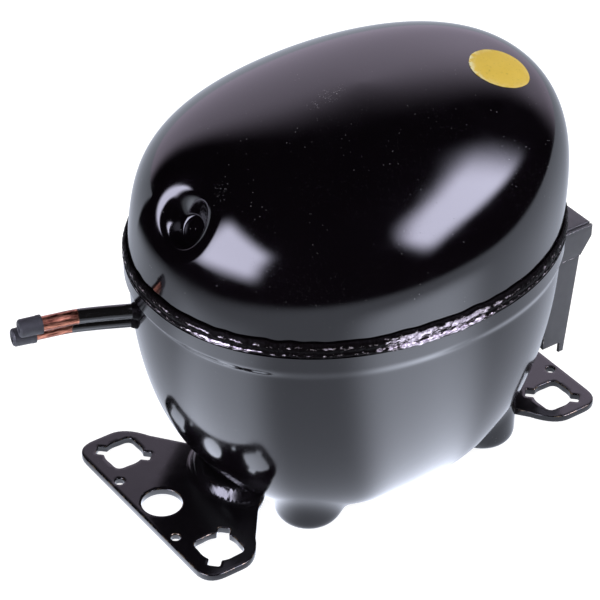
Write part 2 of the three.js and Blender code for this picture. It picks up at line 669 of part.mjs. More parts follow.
function boltHoles(span) {
  return HEAD_BOLT_SPOTS.map(([y, z]) => rodX(HEAD_BOLT.radius + GAP, span, y, z, 8));
}

function crankcase() {
  const { halfX, halfY, bottomZ, topZ, hub, leg } = BED;
  const c = CYLINDER;
  const bed = box([-halfX, halfX], [-halfY, halfY], [bottomZ, topZ]);
  const cylinder = box([c.backX, c.faceX], [-c.halfY, c.halfY], [c.bottomZ, c.topZ]);
  const legSpan = [STATOR.topZ + GAP, bottomZ + 1];
  const legs = cornersOfPump((sx, sy) => rodZ(leg, legSpan, sx * SPRING.x, sy * SPRING.y, 14));
  const tapped = [STATOR.topZ - 1, STATOR.topZ + STATOR_BOLT.reach + 1];
  const legBores = cornersOfPump(
    (sx, sy) => rodZ(STATOR_BOLT.hole, tapped, sx * SPRING.x, sy * SPRING.y, 12));
  const body = join(bed, cylinder, rodZ(hub, [STATOR.topZ + 1, topZ - 1]), ...legs);
  return cut(body, rodZ(SHAFT.bearing, [STATOR.topZ, topZ + 1]), ...legBores,
    rodX(PISTON.bore, [c.backX - 1, c.faceX + 1], 0, BORE_Z, 28),
    ...boltHoles([c.faceX - HEAD_BOLT.bite - 1, c.faceX + 1]));
}

function thrustWasher() {
  const span = [BED.topZ + GAP, WEB.bottomZ - GAP];
  return cut(rodZ(WASHER.outer, span), rodZ(WASHER.inner, [span[0] - 1, span[1] + 1]));
}

// A flat layer of the valve stack with its bolt holes and its openings cut through.
function layer(x0, x1, openings) {
  const c = CYLINDER;
  const body = box([x0, x1], [-c.halfY, c.halfY], [c.bottomZ, c.topZ]);
  return cut(body, ...boltHoles([x0 - 1, x1 + 1]), ...openings);
}

const STACK = (() => {
  const innerGasket = CYLINDER.faceX + GAP;
  const plate = innerGasket + VALVES.gasket + GAP;
  const outerGasket = plate + VALVES.plate + GAP;
  return { innerGasket, plate, outerGasket, head: outerGasket + VALVES.gasket + GAP };
})();

function valveGasket() {
  const x = STACK.innerGasket;
  return layer(x, x + VALVES.gasket, [rodX(PISTON.bore + 0.5, [x - 1, x + 2], 0, BORE_Z, 28)]);
}

function valvePlate() {
  const x = STACK.plate;
  const span = [x - 1, x + VALVES.plate + 1];
  const portZ = BORE_Z + VALVES.portRise;
  const ports = [-1, 1].map((side) => rodX(VALVES.port, span, side * VALVES.portY, portZ, 14));
  return layer(x, x + VALVES.plate, ports);
}

// The suction chamber on the -Y side and the discharge chamber on the +Y side, as cutting tools.
function chambers(x0, x1) {
  const { innerY, outerY, rise } = CHAMBER;
  const sides = [[-outerY, -innerY], [innerY, outerY]];
  return sides.map((y) => box([x0, x1], y, [BORE_Z - rise, BORE_Z + rise]));
}

function headGasket() {
  const x = STACK.outerGasket;
  return layer(x, x + VALVES.gasket, chambers(x - 1, x + 2));
}

function cylinderHead() {
  const x = STACK.head;
  const { port, portX, depth } = CHAMBER;
  const ports = [-20, 20].map((y) => solid(
    new THREE.CylinderGeometry(port, port, 20, 10).translate(x + portX, y, BORE_Z)));
  return layer(x, x + VALVES.headDepth, [...chambers(x - 1, x + depth), ...ports]);
}

function headBolt([y, z]) {
  const seat = STACK.head + VALVES.headDepth + GAP;
  return join(rodX(HEAD_BOLT.radius, [CYLINDER.faceX - HEAD_BOLT.bite, seat + 1], y, z, 8),
    rodX(HEAD_BOLT.headRadius, [seat, seat + HEAD_BOLT.head], y, z, 6));
}

// A spring-steel flap clamped at its foot. face is the x of the side that lies on the valve plate.
function reed(y, face, side) {
  const near = face + side * REED.lift;
  const x = [near, near + side * REED.thick].sort((a, b) => a - b);
  return box(x, [y - REED.halfWide, y + REED.halfWide], [BORE_Z + REED.foot, BORE_Z + REED.tip]);
}

function suctionMuffler() {
  const { backX, frontX, outerY, innerY, corner, height, neckX, neckHalf } = MUFFLER;
  const outline = new THREE.Shape();
  outline.moveTo(backX + corner, outerY);
  outline.lineTo(frontX - corner, outerY);
  outline.quadraticCurveTo(frontX, outerY, frontX, outerY + corner);
  outline.lineTo(frontX, innerY);
  outline.lineTo(backX, innerY);
  outline.lineTo(backX, outerY + corner);
  outline.quadraticCurveTo(backX, outerY, backX + corner, outerY);
  const chest = slab(outline, BED.topZ + GAP, height, 4);
  const neck = box([neckX, STACK.head + VALVES.headDepth], [innerY - 1, -CYLINDER.halfY - GAP],
    [BORE_Z - neckHalf, BORE_Z + neckHalf]);
  return join(chest, neck);
}

// ---- pipes and leads inside -------------------------------------------------------------------------
function dischargeLoop() {
  const [inner] = STUBS.discharge;
  const headX = PUMP_X + STACK.head + CHAMBER.portX;
  const points = [
    inner.clone().add(new THREE.Vector3(-0.44, -0.9, 0).multiplyScalar(0.6)),
    new THREE.Vector3(38.5, 52.5, 90), new THREE.Vector3(39.5, 46.5, 93), new THREE.Vector3(50, 42.5, 104),
    new THREE.Vector3(62, 40, 115), new THREE.Vector3(headX, 32, BORE_Z),
    new THREE.Vector3(headX, 22.4, BORE_Z),
  ];
  return sweep(tubePath(points), LOOP.radius, LOOP.bore, 14, 6);
}

function terminalPlug() {
  const { backX, frontX, halfY, below, above } = CONNECTOR;
  return box([backX, frontX], [-halfY, halfY], [TERMINAL.z - below, TERMINAL.z + above]);
}

function leadBundle() {
  const points = [[67, 66.4], [67, 74], [66.5, 84], [62, 92], [54, 94], [PUMP_X + WINDING.outer + 0.5, 94]];
  return sweep(tubePath(points.map(([x, z]) => new THREE.Vector3(x, 0, z))), 2, 0, 10, 6);
}

// ---- assembly ---------------------------------------------------------------------------------------
const FINISH = {
  paint: { color: 0x0b0b0d, roughness: 0.16, metalness: 0.0 },
  weld: { color: 0x1c1b1d, roughness: 0.55, metalness: 0.3 },
  copper: { color: 0xa8583a, roughness: 0.4, metalness: 1.0 },
  rubber: { color: 0x1d1e21, roughness: 0.75, metalness: 0.0 },
  label: { color: 0xd8b622, roughness: 0.7, metalness: 0.0 },
  steel: { color: 0x8f9296, roughness: 0.4, metalness: 1.0 },
  iron: { color: 0x54565a, roughness: 0.7, metalness: 0.8 },
  enamel: { color: 0x8a3f1e, roughness: 0.5, metalness: 0.6 },
  aluminium: { color: 0xb4b7bb, roughness: 0.45, metalness: 1.0 },
  plastic: { color: 0xd9d4c4, roughness: 0.6, metalness: 0.0 },
  glass: { color: 0x3c5a50, roughness: 0.15, metalness: 0.0 },
  paper: { color: 0x6f5a3c, roughness: 0.85, metalness: 0.0 },
};

function piece(name, body, finish) {
  const mesh = new THREE.Mesh(geometryOf(body), new THREE.MeshStandardMaterial(FINISH[finish]));
  mesh.name = name;
  return mesh;
}

const compressor = new THREE.Group();
const pump = new THREE.Group();
pump.position.x = PUMP_X;

compressor.add(
  piece("upper_shell", upperShell(), "paint"),
  piece("lower_shell", lowerShell(), "paint"),
  piece("weld_bead", weldBead(), "weld"),
  piece("inspection_label", label(), "label"),
  piece("base_plate_left", basePlate(-1), "paint"),
  piece("base_plate_right", basePlate(1), "paint"),
  piece("terminal_fence", fence(), "paint"),
  piece("terminal_cup", terminalCup(), "steel"),
  piece("earth_screw", earthScrew(), "steel"),
  piece("terminal_plug", terminalPlug(), "plastic"),
  piece("lead_bundle", leadBundle(), "plastic"),
  piece("discharge_loop", dischargeLoop(), "copper"),
);
for (const name of Object.keys(STUBS)) {
  compressor.add(piece(`${name}_tube`, stub(name, TUBE.radius, TUBE.bore), "copper"));
  compressor.add(piece(`${name}_cap`, stubCap(name), "rubber"));
}
PIN_SPOTS.forEach((spot, i) => {
  compressor.add(piece(`glass_seal_${i + 1}`, glassSeal(spot), "glass"));
  compressor.add(piece(`terminal_pin_${i + 1}`, terminalPin(spot), "steel"));
});
cornersOfPump((sx, sy, number) => {
  compressor.add(piece(`suspension_spring_${number}`, spring(sx, sy), "steel"));
  compressor.add(piece(`spring_seat_${number}`, springSeat(sx, sy), "plastic"));
  pump.add(piece(`stator_bolt_${number}`, statorBolt(sx, sy), "steel"));
});
HEAD_BOLT_SPOTS.forEach((spot, i) => {
  pump.add(piece(`head_bolt_${i + 1}`, headBolt(spot), "steel"));
});
pump.add(
  piece("stator_core", statorCore(), "iron"),
  piece("stator_winding", statorWinding(), "enamel"),
  piece("rotor", rotor(), "aluminium"),
  piece("balance_weight", balanceWeight(), "steel"),
  piece("crankshaft", crankshaft(), "steel"),
  piece("oil_gallery_plug", oilGalleryPlug(), "steel"),
  piece("oil_pickup", oilPickup(), "steel"),
  piece("slide_block", slideBlock(), "steel"),
  piece("piston_yoke", pistonYoke(), "steel"),
  piece("crankcase", crankcase(), "iron"),
  piece("thrust_washer", thrustWasher(), "steel"),
  piece("valve_gasket", valveGasket(), "paper"),
  piece("valve_plate", valvePlate(), "steel"),
  piece("head_gasket", headGasket(), "paper"),
  piece("cylinder_head", cylinderHead(), "aluminium"),
  piece("suction_reed", reed(-VALVES.portY, STACK.plate, -1), "steel"),
  piece("discharge_reed", reed(VALVES.portY, STACK.plate + VALVES.plate, 1), "steel"),
  piece("suction_muffler", suctionMuffler(), "plastic"),
);
compressor.add(pump);

export default compressor;
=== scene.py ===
import math

import bpy
import numpy as np
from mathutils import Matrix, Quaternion, Vector
from mathutils.geometry import delaunay_2d_cdt


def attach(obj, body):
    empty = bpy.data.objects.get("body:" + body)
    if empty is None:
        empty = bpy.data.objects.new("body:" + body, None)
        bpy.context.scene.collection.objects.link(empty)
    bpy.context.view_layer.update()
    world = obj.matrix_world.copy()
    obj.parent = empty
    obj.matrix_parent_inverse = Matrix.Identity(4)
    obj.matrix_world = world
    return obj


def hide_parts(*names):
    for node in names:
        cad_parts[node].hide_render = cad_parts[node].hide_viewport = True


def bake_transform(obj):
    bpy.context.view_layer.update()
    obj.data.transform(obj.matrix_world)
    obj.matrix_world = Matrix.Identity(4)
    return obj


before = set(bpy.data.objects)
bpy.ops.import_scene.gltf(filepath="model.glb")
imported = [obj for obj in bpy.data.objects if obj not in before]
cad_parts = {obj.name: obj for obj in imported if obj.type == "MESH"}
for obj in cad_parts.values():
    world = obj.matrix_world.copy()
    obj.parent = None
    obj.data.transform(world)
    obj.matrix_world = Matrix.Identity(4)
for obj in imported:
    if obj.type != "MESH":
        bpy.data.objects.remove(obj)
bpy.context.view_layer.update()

# Looks of the hermetic compressor. Sizes are millimetres in the part's frame, turned to metres where a
# mesh is made. The plates' and tubes' measures repeat those of the CAD part, and the shell's nearly do.
MM = 0.001
GAP = 0.3
WALL = 2.8
SEAM_Z = 107.5
random = np.random.default_rng(7)

COVER = {
    "half": (89.6, 74.5), "neck_in": 2.5, "skirt_z": 100.3, "neck_z": 106.3, "wall_z": SEAM_Z + 4.3,
    "crown": 61.7, "lean": 0.0712, "swell": 0.00174, "shift": 5.6, "side": 1.2, "rise": 0.52,
}
RIM = {"half": (91.7, 76.6), "power": 2.11}
DIMPLE = {"climb": 0.315, "around": 3.19, "brim": 18.4, "upward": 0.6}
# Distance from the dimple's middle, and how steep its wall is there.
DIMPLE_SLOPE = [(0, 0), (5.0, 0), (6.4, 1.7), (9.4, 1.7), (12.8, 0.62), (17.0, 0.26), (DIMPLE["brim"], 0)]
BAND = {"half": (91.1, 76.0), "low_z": 101.0, "top_z": SEAM_Z - 1}
BOWL = {"half": (87.9, 74.3), "top_z": 95.5, "power": 2.2, "drop": 0.992, "fall": 1.87, "end": 3.77}
POCKET = {"radius": 13.6, "fillet": 5.0, "blend": 5.5}
PUMP_X = 7.5
SPRING = {"x": 44.8, "y": 28.5, "coil": 7.4, "wire": 0.8, "low": 6.2, "top": 34.6, "turns": 5}
LABEL = {"x": 57.3, "y": -18.4, "radius": 12.0, "thick": 0.3}
TUBE = {"radius": 3.0, "bore": 2.3, "grip": 6.2, "nose": 3.0, "cap": 3.85}
# The suction tube's middle line from above, read off the photograph at the height SUCTION_Z.
SUCTION = [(-76, 17.9), (-85, 22.3), (-96, 27.7), (-106.3, 32.1), (-116, 34.6), (-125.7, 37.0)]
SUCTION_Z = 90.0
PROCESS_OFFSET = np.array([-0.6, 4.7, -7.0])
DISCHARGE = {"start": (45, 66, 90), "way": (0.4376, 0.899, 0), "outside": 33, "inside": 8}
PLATE = {"edge_x": 100, "half_y": 49, "low_z": 7.0, "thick": 3.0, "corner": 9}
PLATE_NECK = [(46, 19), (57, 22), (70, 38.6)]
PLATE_BEND = [(75.5, 49), (83, 49)]
GROMMET = {"x": 85, "y": 35, "radius": 8, "notch": 2.5, "reach": 11.3, "rise": 2, "spread": 0.32}
MID_HOLE = {"x": 89, "radius": 8.25}
PIN_HOLE = {"x": 96, "y": 20.7, "radius": 2}
EMBOSS = {"x": 50, "half": (22, 24), "rise": 4.5, "slope": 4}
FENCE = {
    "half_y": 23.5, "sheet": 1.5, "back": 88.4, "front": 110, "top": 82, "lip": 76, "waist": (104.5, 67.6),
    "foot": (100, 20), "hook": 97.5, "hem": 25, "bend": 2.5, "seam": 0.5,
}
TERMINAL = {"z": 55, "radius": 15.2, "inner": 76, "outer": 91, "wall": 2, "face": 2.4}
PIN = {"ring": 7, "radius": 1.4, "tail": 74, "tip": 101, "eye": 3.2, "glass": 2.9, "bore": 1.75}
PIPE = {
    "radius": 2.2, "bore": 1.4,
    "route": [(41.2, 58.3, 90), (38.5, 52.5, 90), (39.5, 46.5, 93), (50, 42.5, 104), (62, 40, 115),
              (67.8, 32, 121.2), (67.8, 22.4, 121.2)],
}
LEAD = {
    "radius": 0.9, "lay": 1.05, "turns": 2.5,
    "route": [(67, 66.4), (67, 74), (66.5, 84), (62, 92), (54, 94), (47, 94)],
}
EARTH = {"y": 16, "z": 34, "radius": 1.5, "hole": 1.8, "head": 4, "tall": 3}
# Patches of flaked paint on the cover: x and y seen from above, and radius.
CHIPS = [(-67, -11, 1.6), (-69, -14, 1.3), (-17, 1, 2), (-9, 2, 3), (-3, 3, 1.6), (61, -1, 1.3)]
# The photograph's view, fitted to its base plates and weld: angles in degrees, the rest in millimetres.
VIEW = {
    "azimuth": -35.949, "elevation": 36.062, "roll": 0.972,
    "target": (36.383, 81.031, 10.0), "distance": 1154.2, "sensor": 36, "lens": 156,
}


def in_scene(name, data):
    """A new object with that data, linked to the scene."""
    made = bpy.data.objects.new(name, data)
    bpy.context.scene.collection.objects.link(made)
    return made


# ---- camera ---------------------------------------------------------------------------------------
def make_camera():
    azimuth, elevation, roll = (math.radians(VIEW[a]) for a in ("azimuth", "elevation", "roll"))
    target, distance = Vector(VIEW["target"]) * MM, VIEW["distance"] * MM
    level = math.cos(elevation)
    back = Vector((math.sin(azimuth) * level, -math.cos(azimuth) * level, math.sin(elevation)))
    data = bpy.data.cameras.new("camera")
    data.sensor_width, data.lens = VIEW["sensor"], VIEW["lens"]
    data.clip_start, data.clip_end = 0.05, 30
    camera = in_scene("camera", data)
    camera.rotation_mode = "QUATERNION"
    camera.rotation_quaternion = (-back).to_track_quat("-Z", "Y") @ Quaternion((0, 0, 1), roll)
    camera.location = target + back * distance
    bpy.context.scene.camera = camera
    return back


view_back = make_camera()


# ---- node materials -------------------------------------------------------------------------------
class Finish:
    """One Principled material, with short calls for the nodes that give it its detail."""

    def __init__(self, name, colour, rough, **sockets):
        self.material = bpy.data.materials.new(name)
        self.material.use_nodes = True
        self.tree = self.material.node_tree
        self.shader = self.tree.nodes["Principled BSDF"]
        self.set("Base Color", colour)
        self.set("Roughness", rough)
        for socket, value in sockets.items():
            self.set(socket.replace("_", " ").title().replace("Ior", "IOR"), value)
        self.place = self.node("ShaderNodeTexCoord").outputs["Object"]

    def node(self, kind, **values):
        made = self.tree.nodes.new(kind)
        for key, value in values.items():
            setattr(made, key, value)
        return made

    def feed(self, socket, value):
        if isinstance(value, bpy.types.NodeSocket):
            self.tree.links.new(value, socket)
        elif socket.type == "RGBA" and not isinstance(value, (int, float)):
            socket.default_value = (*value[:3], 1)
        else:
            socket.default_value = value

    def set(self, name, value):
        self.feed(self.shader.inputs[name], value)

    def stretched(self, scale):
        made = self.node("ShaderNodeMapping")
        self.feed(made.inputs["Vector"], self.place)
        made.inputs["Scale"].default_value = scale
        return made.outputs["Vector"]

    def noise(self, size, detail=3.0, rough=0.55, at=None, seed=0.0):
        """Noise from 0 to 1 with lumps of that size in millimetres."""
        made = self.node("ShaderNodeTexNoise", noise_dimensions="4D")
        self.feed(made.inputs["Vector"], at or self.place)
        made.inputs["W"].default_value = seed
        made.inputs["Scale"].default_value = 1 / (size * MM)
        made.inputs["Detail"].default_value = detail
        made.inputs["Roughness"].default_value = rough
        return made.outputs["Fac"]

    def cells(self, size):
        """Distance from the nearest of scattered points about that many millimetres apart."""
        made = self.node("ShaderNodeTexVoronoi")
        self.feed(made.inputs["Vector"], self.place)
        made.inputs["Scale"].default_value = 1 / (size * MM)
        return made.outputs["Distance"]

    def span(self, value, low, high, out_low=0.0, out_high=1.0, smooth=False):
        made = self.node("ShaderNodeMapRange")
        if smooth:
            made.interpolation_type = "SMOOTHSTEP"
        self.feed(made.inputs["Value"], value)
        limits = {"From Min": low, "From Max": high, "To Min": out_low, "To Max": out_high}
        for key, number in limits.items():
            made.inputs[key].default_value = number
        return made.outputs["Result"]

    def maths(self, operation, first, second=0.0, third=0.0):
        made = self.node("ShaderNodeMath", operation=operation)
        for socket, value in zip(made.inputs, (first, second, third)):
            self.feed(socket, value)
        return made.outputs["Value"]

    def blend(self, amount, first, second):
        """Mix of two colours. Sockets 6 and 7 are the node's colour inputs, and output 2 is its colour."""
        made = self.node("ShaderNodeMix", data_type="RGBA")
        self.feed(made.inputs["Factor"], amount)
        self.feed(made.inputs[6], first)
        self.feed(made.inputs[7], second)
        return made.outputs[2]

    def times(self, first, second):
        return self.maths("MULTIPLY", first, second)

    def gloss(self, size, detail, low, high, seed=0.0):
        """Roughness that wanders from low to high."""
        self.set("Roughness", self.span(self.noise(size, detail, seed=seed), 0.3, 0.7, low, high))

    def attribute(self, name):
        return self.node("ShaderNodeAttribute", attribute_name=name).outputs["Fac"]

    def bump(self, *layers):
        """Each layer is (height from 0 to 1, depth in millimetres)."""
        normal = None
        for height, depth in layers:
            made = self.node("ShaderNodeBump")
            made.inputs["Strength"].default_value = 1.0
            made.inputs["Distance"].default_value = depth * MM
            self.feed(made.inputs["Height"], height)
            if normal:
                self.feed(made.inputs["Normal"], normal)
            normal = made.outputs["Normal"]
        self.set("Normal", normal)

    def near(self, x, y, radius):
        """1 at a place in millimetres, seen from above, falling to 0 at twice the radius."""
        level = self.node("ShaderNodeVectorMath", operation="MULTIPLY")
        self.feed(level.inputs[0], self.place)
        level.inputs[1].default_value = (1, 1, 0)
        made = self.node("ShaderNodeVectorMath", operation="DISTANCE")
        self.feed(made.inputs[0], level.outputs[0])
        made.inputs[1].default_value = (x * MM, y * MM, 0)
        return self.span(made.outputs["Value"], radius * 0.6 * MM, radius * 2 * MM, 1, 0, smooth=True)


def gloss_enamel(name, peel, haze, dust, chips=()):
    """Black gloss paint with dust. Chips are (x, y, radius) of patches of flaked specks."""
    f = Finish(name, (0.002, 0.0015, 0.0022), haze)
    specks = f.times(f.span(f.cells(2.3), 0.05, 0.085, 1, 0), f.span(f.noise(14, 4), 0.5, 0.62))
    fine = f.times(f.span(f.cells(0.9), 0.05, 0.09, 1, 0), f.span(f.noise(22, 3, seed=4), 0.47, 0.6))
    dirt = f.times(f.maths("MAXIMUM", specks, f.times(fine, 0.5)), dust)
    for x, y, radius in chips:
        flakes = f.span(f.noise(0.7, 4, 0.7, seed=radius), 0.6, 0.66)
        dirt = f.maths("MAXIMUM", dirt, f.times(flakes, f.near(x, y, radius)))
    tint = f.blend(f.noise(60, 2, seed=2), (0.0014, 0.0009, 0.0016), (0.0026, 0.0018, 0.0028))
    f.set("Base Color", f.blend(dirt, tint, (0.34, 0.33, 0.35)))
    smear = f.span(f.noise(9, 5, seed=1), 0.35, 0.8, haze * 0.75, haze * 1.5)
    f.set("Roughness", f.maths("ADD", smear, f.times(dirt, 0.4)))
    f.bump((f.noise(2.2, 2), peel), (f.noise(24, 2, seed=3), peel * 9), (dirt, 0.05))
    return f.material


def worn_and_highlit_enamel(name, grain, mottle, tints, wear_and_highlight_tint, shine, gloss, peel):
    """Paint rubbed through to metal along the upper rounded edges, which are lighter partly as wear and
    partly as a painted highlight. gloss is (size, detail, low, high) of its noise.
    """
    f = Finish(name, tints[1], gloss[2])
    # Lighter metal on the upper rounded edges: part wear, part painted highlight.
    bare = f.times(f.span(f.attribute("edge"), 0.6, 0.95), f.span(f.noise(grain, 5), 0.5, 0.6))
    f.set("Base Color", f.blend(bare, f.blend(f.noise(mottle, 5), *tints), wear_and_highlight_tint))
    f.set("Metallic", f.times(bare, shine))
    size, detail, low, high = gloss
    f.set("Roughness", f.span(f.noise(size, detail, seed=2), 0.3, 0.75, low, high))
    (fine, fine_depth), (broad, broad_depth) = peel
    f.bump((f.noise(fine, 3), fine_depth), (f.noise(broad, 2, seed=5), broad_depth))
    return f.material


def satin_enamel():
    return worn_and_highlit_enamel("satin_enamel", 2.4, 20, ((0.0025, 0.002, 0.003), (0.006, 0.005, 0.0065)),
                       (0.2, 0.15, 0.11), 0.6, (4, 6, 0.1, 0.2), ((0.9, 0.004), (14, 0.03)))


def grey_enamel():
    return worn_and_highlit_enamel("grey_enamel", 1.4, 12, ((0.036, 0.036, 0.042), (0.06, 0.06, 0.067)),
                       (0.3, 0.29, 0.28), 0.7, (3, 5, 0.34, 0.52), ((0.8, 0.012), (8, 0.04)))


def painted_weld():
    f = Finish("painted_weld", (0.002, 0.0015, 0.002), 0.3, specular_ior_level=0.02)
    flecks = f.noise(1.1, 6, 0.65, f.stretched((0.4, 0.4, 1.2)))
    # Painted sparkle: where the attribute is high, the colour turns to a light lilac-pink metal that stands
    # for glints.
    bright = f.span(f.maths("ADD", f.attribute("bright"), f.times(flecks, 3.4)), 2.3, 2.55)
    tint = f.blend(f.noise(2.5, 5, seed=2), (0.0006, 0.0004, 0.0006), (0.003, 0.0022, 0.0026))
    sparkle_pink = f.blend(f.span(f.noise(1.6, 5, seed=7), 0.4, 0.6), (0.2, 0.17, 0.2), (0.6, 0.53, 0.58))
    f.set("Base Color", f.blend(bright, tint, sparkle_pink))
    f.set("Metallic", f.times(bright, 0.9))
    f.gloss(0.9, 5, 0.2, 0.6, seed=1)
    f.bump((f.noise(0.9, 4), 0.3), (f.cells(1.7), 0.2))
    return f.material


def yellow_paper():
    f = Finish("yellow_paper", (0.8, 0.62, 0.06), 0.75, specular_ior_level=0.3)
    worn = f.times(f.attribute("edge"), f.span(f.noise(2.2, 6), 0.42, 0.52))
    tint = f.blend(f.noise(6, 5), (0.56, 0.37, 0.045), (0.72, 0.52, 0.1))
    grime = f.blend(f.span(f.noise(1.1, 4, seed=3), 0.6, 0.75), tint, (0.4, 0.3, 0.05))
    f.set("Base Color", f.blend(worn, grime, (0.78, 0.74, 0.5)))
    f.gloss(3, 4, 0.6, 0.85)
    f.bump((f.noise(0.35, 3), 0.02), (f.noise(5, 3, seed=8), 0.12))
    return f.material


def metal(name, dark, light, rough, grain, pits=0.012, streak=(1, 1, 1)):
    """Bare metal: colour and gloss wander over a few millimetres, with fine marks along a streak."""
    f = Finish(name, light, rough, metallic=1.0)
    marks = f.noise(grain, 5, 0.65, f.stretched(streak))
    f.set("Base Color", f.blend(f.span(f.noise(9, 4, seed=3), 0.3, 0.7), dark, light))
    f.set("Roughness", f.span(marks, 0.3, 0.72, rough * 0.7, rough * 1.35))
    f.bump((marks, pits), (f.noise(grain * 9, 2, seed=6), pits * 1.5))
    return f.material


def drawn_copper():
    f = Finish("drawn_copper", (0.5, 0.2, 0.11), 0.35, metallic=1.0)
    lines = f.noise(0.55, 4, 0.6, f.stretched((0.1, 0.22, 1)))
    paint = f.span(f.maths("ADD", f.attribute("along"), f.times(f.noise(3, 4), 1.6)), 21.4, 21.8)
    bare = f.blend(f.span(lines, 0.42, 0.58), (0.08, 0.022, 0.014), (0.48, 0.2, 0.13))
    f.set("Base Color", f.blend(paint, bare, (0.006, 0.0056, 0.006)))
    f.set("Metallic", f.maths("SUBTRACT", 1.0, paint))
    f.set("Roughness", f.span(paint, 0, 1, 0.3, 0.16))
    f.bump((lines, 0.03), (paint, 0.06), (f.noise(3, 3, seed=2), 0.02))
    return f.material


def plain_copper():
    return metal("plain_copper", (0.4, 0.15, 0.08), (0.72, 0.36, 0.24), 0.34, 0.6, 0.02)


def enamelled_wire():
    f = Finish("enamelled_wire", (0.36, 0.11, 0.035), 0.3, metallic=0.55, coat_weight=0.6)
    wires = f.noise(0.7, 2, 0.5, f.stretched((0.22, 0.22, 1)))
    f.set("Base Color", f.blend(f.span(wires, 0.35, 0.62), (0.13, 0.03, 0.012), (0.52, 0.18, 0.05)))
    f.gloss(3, 4, 0.22, 0.45)
    f.bump((wires, 0.14), (f.noise(0.5, 2, 0.5, f.stretched((1, 1, 0.2)), 3), 0.05))
    return f.material


def laminated_steel():
    f = Finish("laminated_steel", (0.2, 0.21, 0.24), 0.42, metallic=0.9)
    sheets = f.noise(0.5, 1, 0.4, f.stretched((0.001, 0.001, 1)))
    tint = f.blend(f.noise(10, 4), (0.1, 0.11, 0.15), (0.27, 0.27, 0.29))
    f.set("Base Color", f.blend(f.span(sheets, 0.4, 0.5, 1, 0), tint, (0.04, 0.035, 0.035)))
    f.gloss(2, 5, 0.34, 0.56)
    f.bump((sheets, 0.07), (f.noise(1.2, 3), 0.02))
    return f.material


def cast_iron():
    f = Finish("cast_iron", (0.16, 0.16, 0.17), 0.62, metallic=0.7)
    sand = f.noise(0.8, 6, 0.7)
    f.set("Base Color", f.blend(f.noise(7, 5), (0.1, 0.1, 0.105), (0.24, 0.235, 0.23)))
    f.set("Roughness", f.span(sand, 0.3, 0.7, 0.5, 0.78))
    f.bump((sand, 0.12), (f.noise(5, 3, seed=2), 0.18))
    return f.material


def black_rubber():
    f = Finish("black_rubber", (0.02, 0.02, 0.024), 0.62)
    f.set("Base Color", f.blend(f.noise(3, 5), (0.006, 0.006, 0.008), (0.026, 0.026, 0.032)))
    f.gloss(1.5, 4, 0.5, 0.78)
    f.bump((f.noise(0.4, 4), 0.03), (f.noise(3, 2, seed=3), 0.05))
    return f.material


def white_plastic():
    f = Finish("white_plastic", (0.7, 0.67, 0.57), 0.45, subsurface_weight=0.08)
    f.shader.inputs["Subsurface Radius"].default_value = (0.002, 0.002, 0.0015)
    f.set("Base Color", f.blend(f.noise(12, 4), (0.62, 0.58, 0.47), (0.76, 0.73, 0.64)))
    f.gloss(2, 4, 0.36, 0.56)
    f.bump((f.noise(0.35, 2), 0.015), (f.noise(6, 2, seed=2), 0.05))
    return f.material


def seal_glass():
    f = Finish("seal_glass", (0.03, 0.09, 0.07), 0.12, coat_weight=0.8)
    f.set("Base Color", f.blend(f.noise(0.8, 5), (0.015, 0.05, 0.04), (0.07, 0.17, 0.13)))
    f.gloss(0.6, 3, 0.07, 0.22)
    f.bump((f.noise(0.9, 3), 0.05))
    return f.material


def gasket_paper():
    f = Finish("gasket_paper", (0.2, 0.13, 0.07), 0.75, specular_ior_level=0.3)
    fibres = f.noise(0.5, 6, 0.7, f.stretched((1, 0.35, 1)))
    f.set("Base Color", f.blend(f.span(fibres, 0.35, 0.65), (0.11, 0.07, 0.035), (0.27, 0.18, 0.1)))
    f.gloss(5, 3, 0.6, 0.88)
    f.bump((fibres, 0.04))
    return f.material


FINISHES = {
    "gloss_black_paint": gloss_enamel("cover_enamel", 0.003, 0.09, 0.5, CHIPS),
    "satin_black_paint": satin_enamel(),
    "grey_black_paint": grey_enamel(),
    "painted_weld": painted_weld(),
    "yellow_label": yellow_paper(),
    "terminal_steel": metal("terminal_steel", (0.3, 0.3, 0.3), (0.46, 0.46, 0.47), 0.36, 0.7),
    "bright_steel": metal("bright_steel", (0.48, 0.48, 0.49), (0.66, 0.66, 0.66), 0.26, 0.5, 0.006),
    "lamination_steel": laminated_steel(),
    "cast_iron": cast_iron(),
    "cast_aluminium": metal("cast_aluminium", (0.56, 0.57, 0.58), (0.74, 0.75, 0.76), 0.42, 1.1, 0.05),
    "copper": plain_copper(),
    "enamelled_copper": enamelled_wire(),
    "black_rubber": black_rubber(),
    "white_plastic": white_plastic(),
    "seal_glass": seal_glass(),
    "gasket_paper": gasket_paper(),
}
BOWL_ENAMEL = gloss_enamel("bowl_enamel", 0.005, 0.12, 0.3)
DRAWN_COPPER = drawn_copper()


# ---- mesh helpers ---------------------------------------------------------------------------------
def smooth(t):
    t = np.clip(t, 0, 1)
    return t * t * t * (t * (6 * t - 15) + 10)


def unit(v):
    v = np.asarray(v, float)
    return v / np.linalg.norm(v)


def volume(points, faces):
    """Signed volume, from fans of the faces; positive when they point outwards."""
    total = 0.0
    by_size = {}
    for face in faces:
        by_size.setdefault(len(face), []).append(face)
    for size, group in by_size.items():
        corners = points[np.array(group)]
        for k in range(1, size - 1):
            total += np.einsum("ij,ij->", corners[:, 0], np.cross(corners[:, k], corners[:, k + 1]))
    return total


def outward_mesh(name, points, faces):
    """A mesh in metres with its faces turned outwards."""
    points = np.asarray(points, float)
    if volume(points, faces) < 0:
        faces = [face[::-1] for face in faces]
    mesh = bpy.data.meshes.new(name)
    mesh.from_pydata((points * MM).tolist(), [], faces)
    return mesh


